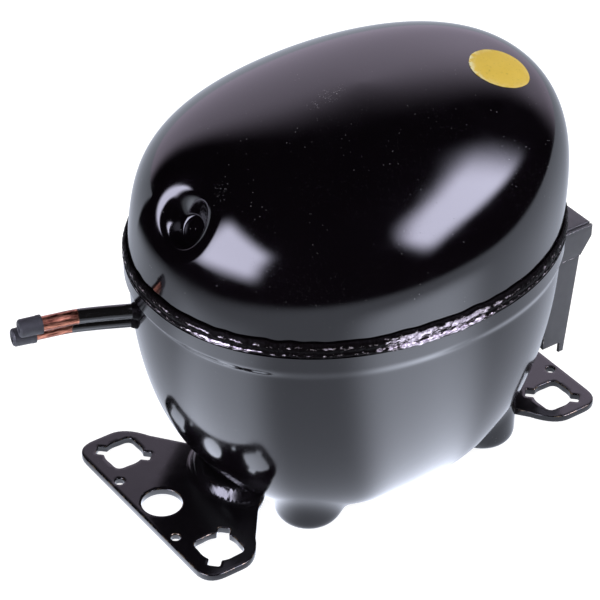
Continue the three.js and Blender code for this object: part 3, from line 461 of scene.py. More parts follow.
def piece(name, points, faces, slot, body="shell", stands_for=(), finish=None, sharp=40, values=None):
    """A mesh that rides on a body, or on none. values are attributes, one number for each point."""
    mesh = outward_mesh(name, points, faces)
    mesh.materials.append(finish or FINISHES[slot])
    mesh.shade_smooth()
    if sharp:
        mesh.set_sharp_from_angle(angle=math.radians(sharp))
    for key, numbers in (values or {}).items():
        layer = mesh.attributes.new(key, "FLOAT", "POINT")
        layer.data.foreach_set("value", np.asarray(numbers, np.float32))
    made = in_scene(name, mesh)
    if body:
        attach(made, body)
    if stands_for:
        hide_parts(*stands_for)
    return made


def loft(rings, first=None, last=None, wrap=False):
    """Points and faces of a stack of closed rings, with a point at either end or the ends joined."""
    rings = np.asarray(rings, float)
    rows, count = rings.shape[:2]
    row, column = np.meshgrid(np.arange(rows if wrap else rows - 1), np.arange(count), indexing="ij")
    after, beside = (row + 1) % rows, (column + 1) % count
    quads = np.stack([row * count + column, row * count + beside, after * count + beside,
                      after * count + column], -1).reshape(-1, 4).tolist()
    points = rings.reshape(-1, 3)
    ring = np.arange(count)
    if first is not None:
        quads += np.stack([np.full(count, len(points)), (ring + 1) % count, ring], -1).tolist()
        points = np.vstack([points, first])
    if last is not None:
        low = (rows - 1) * count
        quads += np.stack([np.full(count, len(points)), low + ring, low + (ring + 1) % count], -1).tolist()
        points = np.vstack([points, last])
    return points, quads


def merge(*meshes):
    """Several (points, faces) as one."""
    points, faces, base = [], [], 0
    for some, more in meshes:
        points.append(np.asarray(some, float))
        faces += [[i + base for i in face] for face in more]
        base += len(some)
    return np.vstack(points), faces


def soften(corners, radius, steps=4):
    """A polyline with its inner corners rounded."""
    corners = [np.asarray(c, float) for c in corners]
    out = [corners[0]]
    for before, here, after in zip(corners, corners[1:], corners[2:]):
        reach = min(radius, 0.45 * np.linalg.norm(before - here), 0.45 * np.linalg.norm(after - here))
        start, end = here + unit(before - here) * reach, here + unit(after - here) * reach
        for t in np.linspace(0, 1, steps + 1):
            out.append((1 - t) ** 2 * start + 2 * t * (1 - t) * here + t * t * end)
    return out + [corners[-1]]


def frame_for(axis):
    axis = unit(axis)
    side = unit(np.cross(axis, (0, 0, 1) if abs(axis[2]) < 0.9 else (1, 0, 0)))
    return axis, side, np.cross(axis, side)


def circle_of(count):
    """That many angles evenly round a circle."""
    return 2 * math.pi * np.arange(count) / count


def turned(profile, origin, axis, count=48, shape=None):
    """A profile of (radius, height) turned about an axis. It starts on the axis, or closes on itself."""
    along, side, other = frame_for(axis)
    angle = circle_of(count)
    profile = [np.asarray(p, float) for p in profile]
    solid = profile[0][0] == 0
    rows = profile[1:-1] if solid else profile
    rings = []
    for radius, height in rows:
        lift = height + (shape(radius, angle, height) if shape else 0 * angle)
        round_it = radius * (np.cos(angle)[:, None] * side + np.sin(angle)[:, None] * other)
        rings.append(np.asarray(origin) + round_it + lift[:, None] * along)
    if not solid:
        return loft(rings, wrap=True)
    ends = [np.asarray(origin) + along * (p[1] + (shape(0, np.zeros(1), p[1])[0] if shape else 0))
            for p in (profile[0], profile[-1])]
    return loft(rings, *ends)


def through(points, steps):
    """Centripetal Catmull-Rom curve through points, with steps pieces to each stretch."""
    p = [np.asarray(q, float) for q in points]
    p = [2 * p[0] - p[1], *p, 2 * p[-1] - p[-2]]
    out = []
    for a, b, c, d in zip(p, p[1:], p[2:], p[3:]):
        ab, bc, cd = (math.sqrt(np.linalg.norm(v)) for v in (b - a, c - b, d - c))
        leave = ((b - a) / ab - (c - a) / (ab + bc) + (c - b) / bc) * bc
        arrive = ((c - b) / bc - (d - b) / (bc + cd) + (d - c) / cd) * bc
        for t in np.arange(steps) / steps:
            out.append(b + leave * t + (3 * (c - b) - 2 * leave - arrive) * t * t
                       + (2 * (b - c) + leave + arrive) * t ** 3)
    return np.array(out + [p[-2]])


def swept(path, radius, bore=0.0, sides=24):
    """A round bar along a path, or a tube where bore is above zero. Also gives each point's way along."""
    path = np.asarray(path, float)
    tangents = np.gradient(path, axis=0)
    tangents /= np.linalg.norm(tangents, axis=1, keepdims=True)
    side = frame_for(tangents[0])[1]
    angle = circle_of(sides)
    frames = []
    for tangent in tangents:
        side = unit(side - tangent * (side @ tangent))
        frames.append(np.cos(angle)[:, None] * side + np.sin(angle)[:, None] * np.cross(tangent, side))
    way = np.concatenate([[0], np.cumsum(np.linalg.norm(np.diff(path, axis=0), axis=1))])
    radius = np.broadcast_to(radius, len(path))
    rings = [q + r * f for q, r, f in zip(path, radius, frames)]
    if bore:
        inner = [q + bore * f for q, f in zip(path, frames)][::-1]
        return (*loft(rings + inner, wrap=True), np.repeat(np.concatenate([way, way[::-1]]), sides))
    points, faces = loft(rings, path[0], path[-1])
    return points, faces, np.concatenate([np.repeat(way, sides), [way[0], way[-1]]])


def even(loop, step):
    """A closed outline with points a step apart, its own corners kept."""
    out = []
    for a, b in zip(loop, [*loop[1:], loop[0]]):
        a, b = np.asarray(a, float), np.asarray(b, float)
        parts = max(1, round(np.linalg.norm(b - a) / step))
        out += [a + (b - a) * i / parts for i in range(parts)]
    return np.array(out)


def inside(points, loops):
    """Even-odd test of points against closed outlines."""
    hit = np.zeros(len(points), bool)
    for loop in loops:
        for (x0, y0), (x1, y1) in zip(loop, np.roll(loop, -1, 0)):
            crosses = (y0 > points[:, 1]) != (y1 > points[:, 1])
            at = x0 + (x1 - x0) * (points[:, 1] - y0) / (y1 - y0 if y1 != y0 else 1)
            hit ^= crosses & (points[:, 0] < at)
    return hit


def pressed_sheet(outline, holes, thick, spacing, edge=0.45, step=1.2):
    """A flat sheet from z 0 to thick with rounded edges: points, faces and nearness to an edge."""
    loops = []
    for k, loop in enumerate([outline, *holes]):
        loop = even(loop, step)
        ahead = np.roll(loop, -1, 0)
        area = (loop[:, 0] * ahead[:, 1] - ahead[:, 0] * loop[:, 1]).sum()
        loops.append(loop if (area > 0) == (k == 0) else loop[::-1])
    inward = []
    for loop in loops:
        way = np.roll(loop, -1, 0) - np.roll(loop, 1, 0)
        inward.append(np.stack([-way[:, 1], way[:, 0]], -1) / np.linalg.norm(way, axis=1, keepdims=True))
    inset = [loop + edge * n for loop, n in zip(loops, inward)]
    low, high = loops[0].min(0), loops[0].max(0)
    grid = np.stack(np.meshgrid(*(np.arange(a + spacing / 2, b, spacing) for a, b in zip(low, high))), -1)
    grid = grid.reshape(-1, 2)
    rims = np.vstack(inset)
    grid = grid[inside(grid, inset)]
    gap = np.concatenate([np.linalg.norm(g[:, None] - rims, axis=2).min(1)
                          for g in np.array_split(grid, max(1, len(grid) // 500))])
    flat = np.vstack([rims, grid[gap > 0.6 * spacing]])
    edges, start = [], 0
    for loop in inset:
        edges += [(start + i, start + (i + 1) % len(loop)) for i in range(len(loop))]
        start += len(loop)
    made, _, triangles, *_ = delaunay_2d_cdt([Vector(q) for q in flat], edges, [], 0, 1e-5)
    flat = np.array([q[:] for q in made])
    triangles = np.array([t for t in triangles if len(t) == 3])
    triangles = triangles[inside(flat[triangles].mean(1), inset)]
    total = len(flat)
    points = [np.c_[flat, np.full(total, thick)], np.c_[flat, np.zeros(total)]]
    nearness = [np.where(np.arange(total) < start, 0.45, 0.0)] * 2
    faces = [*triangles.tolist(), *(triangles[:, ::-1] + total).tolist()]
    base, begin = 2 * total, 0
    turns = np.radians([30, 60, 90])
    rows = [(edge * (1 - math.sin(a)), thick - edge * (1 - math.cos(a))) for a in turns]
    rows += [(inset_by, thick - z) for inset_by, z in rows[::-1]]
    for loop, n in zip(loops, inward):
        count = len(loop)
        ring = np.arange(count)
        stack = [begin + ring]
        for inset_by, z in rows:
            points.append(np.c_[loop + inset_by * n, np.full(count, z)])
            # The upper rounded edge gets 1, where finishes lighten it as wear and as a painted highlight.
            nearness.append(np.full(count, 1.0 if 0 < inset_by < edge and z > thick / 2 else 0.35))
            stack.append(base + ring)
            base += count
        stack.append(total + begin + ring)
        for upper, lower in zip(stack, stack[1:]):
            faces += np.stack([upper, lower, np.roll(lower, -1), np.roll(upper, -1)], -1).tolist()
        begin += count
    return np.vstack(points), faces, np.concatenate(nearness)


def carve(made, shapes, sharp=40):
    """Cuts closed shapes out of a piece for good."""
    tools = [in_scene("cutter", outward_mesh("cutter", *shape)) for shape in shapes]
    for tool in tools:
        cut = made.modifiers.new("cut", "BOOLEAN")
        cut.operation, cut.solver, cut.object = "DIFFERENCE", "EXACT", tool
    ready = made.evaluated_get(bpy.context.evaluated_depsgraph_get())
    mesh = bpy.data.meshes.new_from_object(ready)
    made.modifiers.clear()
    made.data = mesh
    mesh.set_sharp_from_angle(angle=math.radians(sharp))
    for tool in tools:
        bpy.data.objects.remove(tool)


def rod(radius, start, end, count=48):
    start, end = np.asarray(start, float), np.asarray(end, float)
    tall = np.linalg.norm(end - start)
    return turned([(0, 0), (radius, 0), (radius, tall), (0, tall)], start, end - start, count)


# ---- cover ----------------------------------------------------------------------------------------
def oval(half, power, angle):
    c, s = np.cos(angle), np.sin(angle)
    return (half[0] * np.sign(c) * np.abs(c) ** (2 / power), half[1] * np.sign(s) * np.abs(s) ** (2 / power))


def flat_ring(half, inset, power, angle, z):
    x, y = oval((half[0] - inset, half[1] - inset), power, angle)
    return np.stack([x, y, np.broadcast_to(z, x.shape)], -1)


def cover_point(climb, angle, inset=0.0):
    side, rise = np.cos(climb) ** COVER["side"], np.sin(climb) ** COVER["rise"]
    half = [(h - inset) * side for h in COVER["half"]]
    x, y = oval(half, RIM["power"] + (2 - RIM["power"]) * rise, angle)
    x = x + COVER["shift"] * rise
    lift = COVER["crown"] - inset + COVER["lean"] * x + COVER["swell"] * x * x
    return np.stack([x, y, COVER["wall_z"] + lift * rise], -1)


def cover_height(x, y):
    low, high = np.zeros_like(x), np.full_like(x, math.pi / 2)
    for _ in range(40):
        climb = (low + high) / 2
        rise = np.sin(climb) ** COVER["rise"]
        power = RIM["power"] + (2 - RIM["power"]) * rise
        side = np.cos(climb) ** COVER["side"]
        reach = (np.abs((x - COVER["shift"] * rise) / (COVER["half"][0] * side)) ** power
                 + np.abs(y / (COVER["half"][1] * side)) ** power)
        low, high = np.where(reach > 1, low, climb), np.where(reach > 1, climb, high)
    rise = np.sin(low) ** COVER["rise"]
    return COVER["wall_z"] + (COVER["crown"] + COVER["lean"] * x + COVER["swell"] * x * x) * rise


def dimple_frame():
    climb, around, step = DIMPLE["climb"], DIMPLE["around"], 0.02
    up = cover_point(climb + step, around) - cover_point(climb - step, around)
    side = cover_point(climb, around + step) - cover_point(climb, around - step)
    return cover_point(climb, around), unit(np.cross(side, up))


def dimple_depth(reach):
    """Depth of the recess, from how steep its wall is at each distance from the middle."""
    radii = np.linspace(0, DIMPLE["brim"], 400)
    slope = np.interp(radii, *zip(*DIMPLE_SLOPE))
    fallen = np.cumsum(slope[::-1])[::-1] * radii[1]
    return np.interp(reach, radii, fallen, right=0)


def press_dimple(points):
    """Pushes a round recess with a soft brim into the cover's -X end."""
    origin, normal = dimple_frame()
    offset = points - origin
    height = offset @ normal
    reach = np.linalg.norm(offset - height[..., None] * normal, axis=-1)
    drop = np.where(height > -2 * DIMPLE["brim"], dimple_depth(reach), 0)
    flat = smooth(drop / dimple_depth(0))
    press = unit(normal + np.array([0, 0, DIMPLE["upward"]]))
    return points - (drop + flat * height)[..., None] * press


def crowded(count, low, high, focus, width, gain):
    """Values from low to high, closer together near a focus."""
    fine = np.linspace(low, high, 4000)
    total = np.cumsum(1 + gain * np.exp(-(((fine - focus) / width) ** 2)))
    return np.interp(np.linspace(0, 1, count), (total - total[0]) / (total[-1] - total[0]), fine)


def make_cover():
    """Two skins with a closed rim, their points crowded towards the dimple."""
    centre, top, rush = DIMPLE["around"], math.pi / 2, 1.7
    angle = crowded(441, centre - math.pi, centre + math.pi, centre, 0.3, 2.2)[:-1]
    focus = (DIMPLE["climb"] / top) ** (1 / rush)

    def skin(inset, rows):
        climbs = top * crowded(rows, 0, 1, focus, 0.13, 1.6)[1:-1] ** rush
        neck = inset + COVER["neck_in"]
        low = [flat_ring(COVER["half"], neck, RIM["power"], angle, z)
               for z in (COVER["skirt_z"], COVER["neck_z"] - 0.6)]
        low += [flat_ring(COVER["half"], inset, RIM["power"], angle, z)
                for z in (COVER["neck_z"] + 1.5, COVER["wall_z"])]
        return low + [cover_point(climb, angle, inset) for climb in climbs]

    outer = skin(0.0, 150)
    inner = skin(WALL, 46)
    crown = [cover_point(top, np.zeros(1), inset)[0] for inset in (0.0, WALL)]
    points, faces = loft(outer[::-1] + inner, crown[0], crown[1])
    count = len(angle)
    split = len(outer) * count
    points[:split] = press_dimple(points[:split])
    _, normal = dimple_frame()
    points[split:-2] = press_dimple(points[split:-2] + WALL * normal) - WALL * normal
    piece("cover_skin", points, faces, "gloss_black_paint", stands_for=["upper_shell"], sharp=50)


# ---- bowl -----------------------------------------------------------------------------------------
def bowl_field(p):
    """Below zero inside the deep-drawn bowl, roughly in millimetres."""
    share = 1 - p[..., 2] / BOWL["top_z"]
    drop = np.clip(BOWL["drop"] * share, 1e-3, 0.9999)
    left = 1 - drop ** BOWL["fall"]
    scale = left ** (1 / BOWL["end"])
    reach = sum(np.abs(p[..., i] / BOWL["half"][i]) ** BOWL["power"] for i in (0, 1))
    mean = sum(BOWL["half"]) / 2
    slope = (mean / BOWL["end"] * left ** (1 / BOWL["end"] - 1) * BOWL["fall"] * drop ** (BOWL["fall"] - 1)
             * BOWL["drop"] / BOWL["top_z"])
    return (reach ** (1 / BOWL["power"]) - scale) * mean / np.sqrt(1 + slope ** 2)


def pocket_field(p, x, y):
    """Distance to an upright post with a rounded foot at z 0."""
    radius, fillet = POCKET["radius"], POCKET["fillet"]
    out = np.hypot(p[..., 0] - x, p[..., 1] - y) - (radius - fillet)
    down = fillet - p[..., 2]
    return np.minimum(np.maximum(out, down), 0) + np.hypot(np.maximum(out, 0), np.maximum(down, 0)) - fillet


CORNERS = [(-1, -1), (1, -1), (1, 1), (-1, 1)]


def shell_field(p):
    """The bowl with its four pockets blended in, and flat at z 0."""
    field, soft = bowl_field(p), POCKET["blend"]
    for sx, sy in CORNERS:
        post = pocket_field(p, PUMP_X + sx * SPRING["x"], sy * SPRING["y"])
        mix = np.clip(0.5 + 0.5 * (post - field) / soft, 0, 1)
        field = post + (field - post) * mix - soft * mix * (1 - mix)
    return np.maximum(field, -p[..., 2])


def onto_shell(points, level):
    """Slides points along lines from the bowl's middle until they lie on the blended surface."""
    middle = np.array([0, 0, 60.0])
    way = points - middle
    nearest, farthest, halvings = 0.72, 1.9, 22
    steps = np.linspace(nearest, farthest, 90)
    values = np.stack([shell_field(middle + t * way) - level for t in steps])
    end = len(steps) - 1
    last = end - np.argmax(values[::-1] < 0, axis=0)
    low, high = steps[np.clip(last, 0, end - 1)], steps[np.clip(last + 1, 1, end)]
    for _ in range(halvings):
        half = (low + high) / 2
        within = shell_field(middle + half[..., None] * way) < level
        low, high = np.where(within, half, low), np.where(within, high, half)
    return middle + high[..., None] * way


def bowl_rings(angle, level, rows, bands):
    """Rings from the foot to the rim. level is below zero for the inner skin."""
    drops = BOWL["drop"] * np.sin(np.linspace(math.pi / 2, 0, rows))
    foot_z = -level
    rings = []
    for drop in drops:
        scale = (1 - drop ** BOWL["fall"]) ** (1 / BOWL["end"])
        x, y = oval([(h + level) * scale for h in BOWL["half"]], BOWL["power"], angle)
        z = foot_z + (BOWL["top_z"] - foot_z) * (1 - drop / BOWL["drop"])
        ring = np.stack([x, y, np.full_like(x, z)], -1)
        rings.append(ring)
    pockets_top, fading = 62, 8
    low = np.array([ring for ring in rings if ring[0, 2] < pockets_top])
    fade = smooth((pockets_top - low[:, 0, 2]) / fading)[:, None, None]
    rings[:len(low)] = list(low + fade * (onto_shell(low, level) - low))
    for z in np.linspace(BOWL["top_z"], BAND["low_z"], bands)[1:]:
        share = (z - BOWL["top_z"]) / (BAND["low_z"] - BOWL["top_z"])
        turn = share * share * (3 - 2 * share)
        half = [b + (a - b) * turn + level for a, b in zip(BAND["half"], BOWL["half"])]
        power = BOWL["power"] + (RIM["power"] - BOWL["power"]) * turn
        rings.append(flat_ring(half, 0, power, angle, z))
    rings.append(flat_ring([h + level for h in BAND["half"]], 0, RIM["power"], angle, BAND["top_z"]))
    return rings


def make_bowl():
    angle = circle_of(600)

    def with_foot(rings):
        middle = np.array([0, 0, rings[0][0, 2]])
        return [middle + (rings[0] - middle) * t for t in (0.25, 0.5, 0.75)] + rings

    outer = with_foot(bowl_rings(angle, 0.0, 90, 14))
    inner = with_foot(bowl_rings(angle, -WALL, 24, 4))
    ends = [np.array([0, 0, rings[0][0, 2]]) for rings in (outer, inner)]
    points, faces = loft(outer + inner[::-1], *ends)
    made = piece("bowl_skin", points, faces, "gloss_black_paint", stands_for=["lower_shell"],
                 finish=BOWL_ENAMEL, sharp=50)
    holes = [rod(TERMINAL["radius"] + GAP, (70, 0, TERMINAL["z"]), (100, 0, TERMINAL["z"]), 64)]
    for route in tube_routes().values():
        way = unit(route[1] - route[0])
        holes.append(rod(TUBE["radius"] + GAP / 2, route[0] - 6 * way, route[0] + 16 * way, 32))
    carve(made, holes, sharp=50)


# ---- weld -----------------------------------------------------------------------------------------
# Rough stretches round the seam, which also get lighter patches of painted sparkle: angle in degrees, width
# in radians and strength.
WELD_MESS = [(256, 0.12, 1.2), (269, 0.17, 1.0)]
# Where a painted highlight streak runs round the seam: angle in degrees and width in radians.
WELD_HIGHLIGHT_STREAK = (204, 0.2)
# Places across the seam, from its foot at 0 to its top at 1, of the two rows of painted sparkle dots and of
# the painted glints along the highlight streak.
WELD_SPARKLE_ROWS = (0.35, 0.75)
WELD_PAINTED_GLINTS = (0.2, 0.42)
WELD_SECTION = [(1.75, -0.9), (0.7, -0.75), (0.15, 0.4), (0.0, 1.6), (0.1, 3.2), (0.75, 5.1), (1.75, 5.9)]


def wander(angle, waves, seed):
    """A smooth random wave round the shell, about -1 to 1."""
    own = np.random.default_rng(seed)
    total = np.zeros_like(angle)
    for count in waves:
        total += own.uniform(0.5, 1) * np.sin(count * angle + own.uniform(0, 2 * math.pi))
    return total / math.sqrt(len(waves))


def bump_at(angle, degrees, width):
    """1 at a turn in degrees, falling away over a width in radians."""
    gap = (angle - math.radians(degrees) + math.pi) % (2 * math.pi) - math.pi
    return np.exp(-((gap / width) ** 2))


def make_weld():
    """The lumpy seam with a rough stretch, and painted sparkle: a painted highlight streak, two rows of
    painted dots and lighter patches in the rough stretch.
    """
    angle = circle_of(1400)
    section = soften(WELD_SECTION, 1.2, 3)
    ripple = 0.5 + 0.5 * np.sin(angle * 150 + 1.5 * wander(angle, range(5, 30, 3), 3))
    mess = sum(power * bump_at(angle, turn, width) for turn, width, power in WELD_MESS)
    mess = np.clip(mess, 0, 1)
    streak = bump_at(angle, *WELD_HIGHLIGHT_STREAK)
    lumps = wander(angle, range(40, 220, 13), 5)
    x, y = oval(RIM["half"], RIM["power"], angle)
    shrink = np.stack([x / RIM["half"][0], y / RIM["half"][1]], -1)
    rings, bright = [], []
    for k, (inset, rise) in enumerate(section):
        share = k / (len(section) - 1)
        body = math.sin(math.pi * share)
        grain = np.abs(random.normal(0, 0.05, len(angle)))
        dent = 0.14 * ripple + 0.22 * np.clip(lumps, 0, 2) * (0.3 + 0.7 * mess) + grain
        valley = 0.45 * math.exp(-(((share - 0.5) / 0.12) ** 2))
        valley = valley + 0.5 * mess * (0.5 + 0.5 * math.cos(share * 11))
        z = SEAM_Z + rise + 0.3 * wander(angle, range(3, 60, 7), 11) * (1 - body * 0.4)
        z = z - 1.3 * mess * (1 - share) + 0.5 * mess * share
        back = (inset + body * (dent + valley))[:, None] * shrink
        rings.append(np.stack([x - back[:, 0], y - back[:, 1], z], -1))
        # Painted sparkle: two rows of painted dots, painted glints along the highlight streak, and lighter
        # patches in the rough stretch.
        rows = sum(math.exp(-(((share - row) / 0.07) ** 2)) for row in WELD_SPARKLE_ROWS)
        painted_glint = streak * sum(math.exp(-(((share - row) / 0.08) ** 2)) for row in WELD_PAINTED_GLINTS)
        blotch = 0.25 * wander(angle, range(9, 90, 7), 40 + k // 3)
        bright.append(mess * (0.75 * body + blotch) + 0.5 * rows + painted_glint)
    points, faces = loft(rings, wrap=True)
    piece("weld_seam", points, faces, "painted_weld", stands_for=["weld_bead"], sharp=None,
          values={"bright": np.concatenate(bright)})


# ---- label ----------------------------------------------------------------------------------------
def make_label():
    count, rows = 160, 14
    angle = circle_of(count)
    torn = bump_at(angle, 150, 0.9)
    edge = LABEL["radius"] * (1 - 0.01 * np.abs(wander(angle, range(2, 9), 21))
                              - 0.03 * torn * np.abs(wander(angle, range(11, 60, 6), 22)))

    def level(share, lift):
        x, y = LABEL["x"] + edge * share * np.cos(angle), LABEL["y"] + edge * share * np.sin(angle)
        return np.stack([x, y, cover_height(x, y) + lift], -1)

    shares = np.linspace(0, 1, rows)[1:]
    low, high = 0.04, LABEL["thick"] - 0.02
    rings = [level(s, low) for s in shares]
    rings += [level(1.0, high * 0.7)]
    rings += [level(s, high) for s in shares[::-1]]
    near = [max(0.0, (s - 0.8) / 0.2) for s in shares]
    near = near + [1] + near[::-1]
    x, y = np.array([float(LABEL["x"])]), np.array([float(LABEL["y"])])
    middle = [np.array([x[0], y[0], cover_height(x, y)[0] + lift]) for lift in (low, high)]
    points, faces = loft(rings, *middle)
    values = np.concatenate([n * (0.15 + 0.85 * torn) for n in near] + [[0, 0]])
    piece("label_disc", points, faces, "yellow_label", stands_for=["inspection_label"],
          values={"edge": values})


# ---- base plates ----------------------------------------------------------------------------------
def curve2(start, handle, end, parts=8):
    start, handle, end = (np.array(corner) for corner in (start, handle, end))
    return [tuple((1 - t) ** 2 * start + 2 * t * (1 - t) * handle + t * t * end)
            for t in np.linspace(0, 1, parts + 1)[1:]]


def plate_outline():
    """The plate for +X, counted round from the root."""
    edge, half, corner = PLATE["edge_x"], PLATE["half_y"], PLATE["corner"]
    upper = [*soften(PLATE_NECK, 7, 5)]
    upper += curve2(PLATE_NECK[-1], *PLATE_BEND) + [(edge - corner, half)]
    upper += curve2((edge - corner, half), (edge, half), (edge, half - corner))
    upper = [tuple(p) for p in upper]
    return upper[::-1] + [(x, -y) for x, y in upper]


def grommet_hole(way):
    g, points = GROMMET, []
    for turn in (0, math.pi):
        points += [(g["reach"], -g["notch"], turn), (g["reach"], g["notch"], turn)]
        start = math.asin(g["notch"] / g["radius"])
        for angle in np.linspace(start, math.pi - start, 17):
            reach = g["radius"] + g["rise"] * math.exp(-(((angle - math.pi / 2) / g["spread"]) ** 2))
            points.append((reach * math.cos(angle), reach * math.sin(angle), turn))
    diagonal = math.atan2(way, 1)
    outline = []
    for u, v, turn in points:
        c, s = math.cos(turn + diagonal), math.sin(turn + diagonal)
        outline.append((g["x"] + u * c - v * s, way * g["y"] + u * s + v * c))
    return soften([outline[-1], *outline, outline[0]], 0.9, 3)[1:-1]


def circle(x, y, radius, count=48):
    return [(x + radius * math.cos(a), y + radius * math.sin(a)) for a in circle_of(count)]


# Share of the bowl's width and height of the rings whose solid is cut out of the plates.
CLEARANCE = [(0.5, 3.0), (0.62, 8.0), (0.7, 14.0), (0.78, 22.0), (0.86, 30.0)]


def make_plate(name, side, node):
    """One pressed base plate, raised under the bowl and cut to clear it."""
    holes = [grommet_hole(-1), grommet_hole(1), circle(MID_HOLE["x"], 0, MID_HOLE["radius"], 72)]
    holes += [circle(PIN_HOLE["x"], way * PIN_HOLE["y"], PIN_HOLE["radius"], 20) for way in (-1, 1)]
    points, faces, near = pressed_sheet(plate_outline(), holes, PLATE["thick"], 1.1, step=0.8)
    x, y = points[:, 0] - EMBOSS["x"], points[:, 1]
    reach = np.hypot(x / EMBOSS["half"][0], y / EMBOSS["half"][1])
    slope = EMBOSS["slope"] / EMBOSS["half"][0]
    rise = EMBOSS["rise"] * (1 - smooth((reach - (1 - slope)) / slope))
    points = np.c_[side * points[:, 0], points[:, 1], PLATE["low_z"] + points[:, 2] + rise]
    made = piece(name, points, faces, "satin_black_paint", stands_for=[node], values={"edge": near})
    angle = circle_of(120)
    rings = []
    for share, z in CLEARANCE:
        x, y = oval([h * share for h in BOWL["half"]], BOWL["power"], angle)
        rings.append(onto_shell(np.stack([x, y, np.full(len(angle), z)], -1), -GAP))
    ends = [rings[0].mean(0), rings[-1].mean(0)]
    carve(made, [loft(rings, *ends)])


# ---- terminal fence -------------------------------------------------------------------------------
def make_fence():
    f = FENCE
    inner, seam = f["half_y"] - f["sheet"], f["waist"][1]
    ear = [(f["back"], seam + f["seam"]), (f["waist"][0] + 0.3, seam + f["seam"]), (f["front"], f["lip"]),
           (f["front"], f["top"] - f["seam"]), (f["back"], f["top"] - f["seam"])]
    cheek = [(f["back"], seam), f["waist"], f["foot"], (f["hook"], f["foot"][1]), (f["hook"], f["hem"]),
             (f["back"], f["hem"])]
    sheets, nears = [], []
    for way in (-1, 1):
        for outline, out in ((ear, 0), (cheek, -0.4)):
            points, faces, near = pressed_sheet(outline, [], f["sheet"], 3.0, 0.35)
            sheets.append((np.c_[points[:, 0], way * (inner + out + points[:, 2]), points[:, 1]], faces))
            nears.append(near)
    tall, deep = f["top"] - f["hem"], f["front"] - f["back"]
    wide = f["half_y"] - f["sheet"] - f["seam"]
    arc = f["bend"] * math.pi / 2
    web = tall - f["bend"]
    long = web + arc + deep - f["bend"]
    flat = [(0, -wide), (long, -wide), (long, wide), (0, wide)]
    holes = [circle(TERMINAL["z"] - f["hem"], 0, TERMINAL["radius"] + 2 * GAP, 72),
             circle(EARTH["z"] - f["hem"], EARTH["y"], EARTH["hole"], 24)]
    points, faces, near = pressed_sheet(flat, holes, f["sheet"], 1.6, 0.35)
    u, v, w = points.T
    turn = np.clip((u - web) / f["bend"], 0, math.pi / 2)
    straight = np.minimum(u, web)
    past = np.maximum(u - web - arc, 0)
    reach = f["bend"] - w
    x = f["back"] + f["bend"] - reach * np.cos(turn) + past
    z = f["hem"] + straight + reach * np.sin(turn)
    sheets.append((np.c_[x, v, z], faces))
    nears.append(near)
    points, faces = merge(*sheets)
    piece("fence_sheet", points, faces, "grey_black_paint", stands_for=["terminal_fence"],
          values={"edge": np.concatenate(nears)})


# ---- terminals ------------------------------------------------------------------------------------
PIN_SPOTS = [(PIN["ring"] * math.cos(a), TERMINAL["z"] + PIN["ring"] * math.sin(a))
             for a in map(math.radians, (90, 210, 330))]


def make_terminals():
    t = TERMINAL
    deep = t["outer"] - t["inner"]
    out, bore, floor = t["radius"], t["radius"] - t["wall"], deep - t["face"]
    skin = soften([(bore, 0), (out, 0), (out, deep), (0.001, deep)], 1.6, 5)
    lining = soften([(0.001, floor), (bore, floor), (bore, 0.2)], 1.2, 4)
    profile = [(0, deep), *skin[::-1][1:], *lining[::-1][1:-1], (0, floor)]
    cup = piece("terminal_dish", *turned(profile, (t["inner"], 0, t["z"]), (1, 0, 0), 96),
                "terminal_steel", stands_for=["terminal_cup"])
    carve(cup, [rod(PIN["eye"], (t["inner"] + 6, y, z), (t["outer"] + 2, y, z), 32) for y, z in PIN_SPOTS])
    long = PIN["tip"] - PIN["tail"]
    shaft = soften([(0, 0), (PIN["radius"], 0), (PIN["radius"], long), (0, long)], 0.5, 4)
    bead = [(PIN["bore"], -2.6), (PIN["glass"], -2.6), (PIN["glass"], -0.3), (PIN["glass"] - 0.35, 0.25),
            (PIN["glass"] - 0.8, 0.5), (PIN["bore"], 0.2)]
    for k, (y, z) in enumerate(PIN_SPOTS, 1):
        piece(f"pin_{k}", *turned(shaft, (PIN["tail"], y, z), (1, 0, 0), 32), "bright_steel",
              stands_for=[f"terminal_pin_{k}"])
        piece(f"glass_bead_{k}", *turned(bead, (t["outer"], y, z), (1, 0, 0), 32), "seal_glass",
              stands_for=[f"glass_seal_{k}"])


def make_earth_screw():
    e, start = EARTH, FENCE["back"]
    face = FENCE["sheet"] + GAP
    top = face + e["tall"]

    stem, head = e["radius"], e["head"]
    under = soften([(0, 0), (stem, 0), (stem, face), (head, face), (head, top - 0.9)], 0.25, 3)
    crown = [(head * math.cos(a), top - 0.9 + 0.9 * math.sin(a)) for a in np.linspace(0.3, 1.1, 6)]
    crown += [(r, top - 0.02 * r) for r in np.linspace(head * 0.42, 0, 14)]
    piece("earth_screw_head", *turned([*under, *crown], (start, e["y"], e["z"]), (1, 0, 0), 96),
          "bright_steel", stands_for=["earth_screw"])


# ---- tubes and caps -------------------------------------------------------------------------------
def tube_routes():
    suction = np.array([(x, y, SUCTION_Z) for x, y in SUCTION])
    start, way = np.array(DISCHARGE["start"], float), np.array(DISCHARGE["way"])
    outside = DISCHARGE["outside"]
    discharge = np.array([start + way * t for t in (-DISCHARGE["inside"], outside / 2, outside)])
    return {"suction": suction, "process": suction + PROCESS_OFFSET, "discharge": discharge}


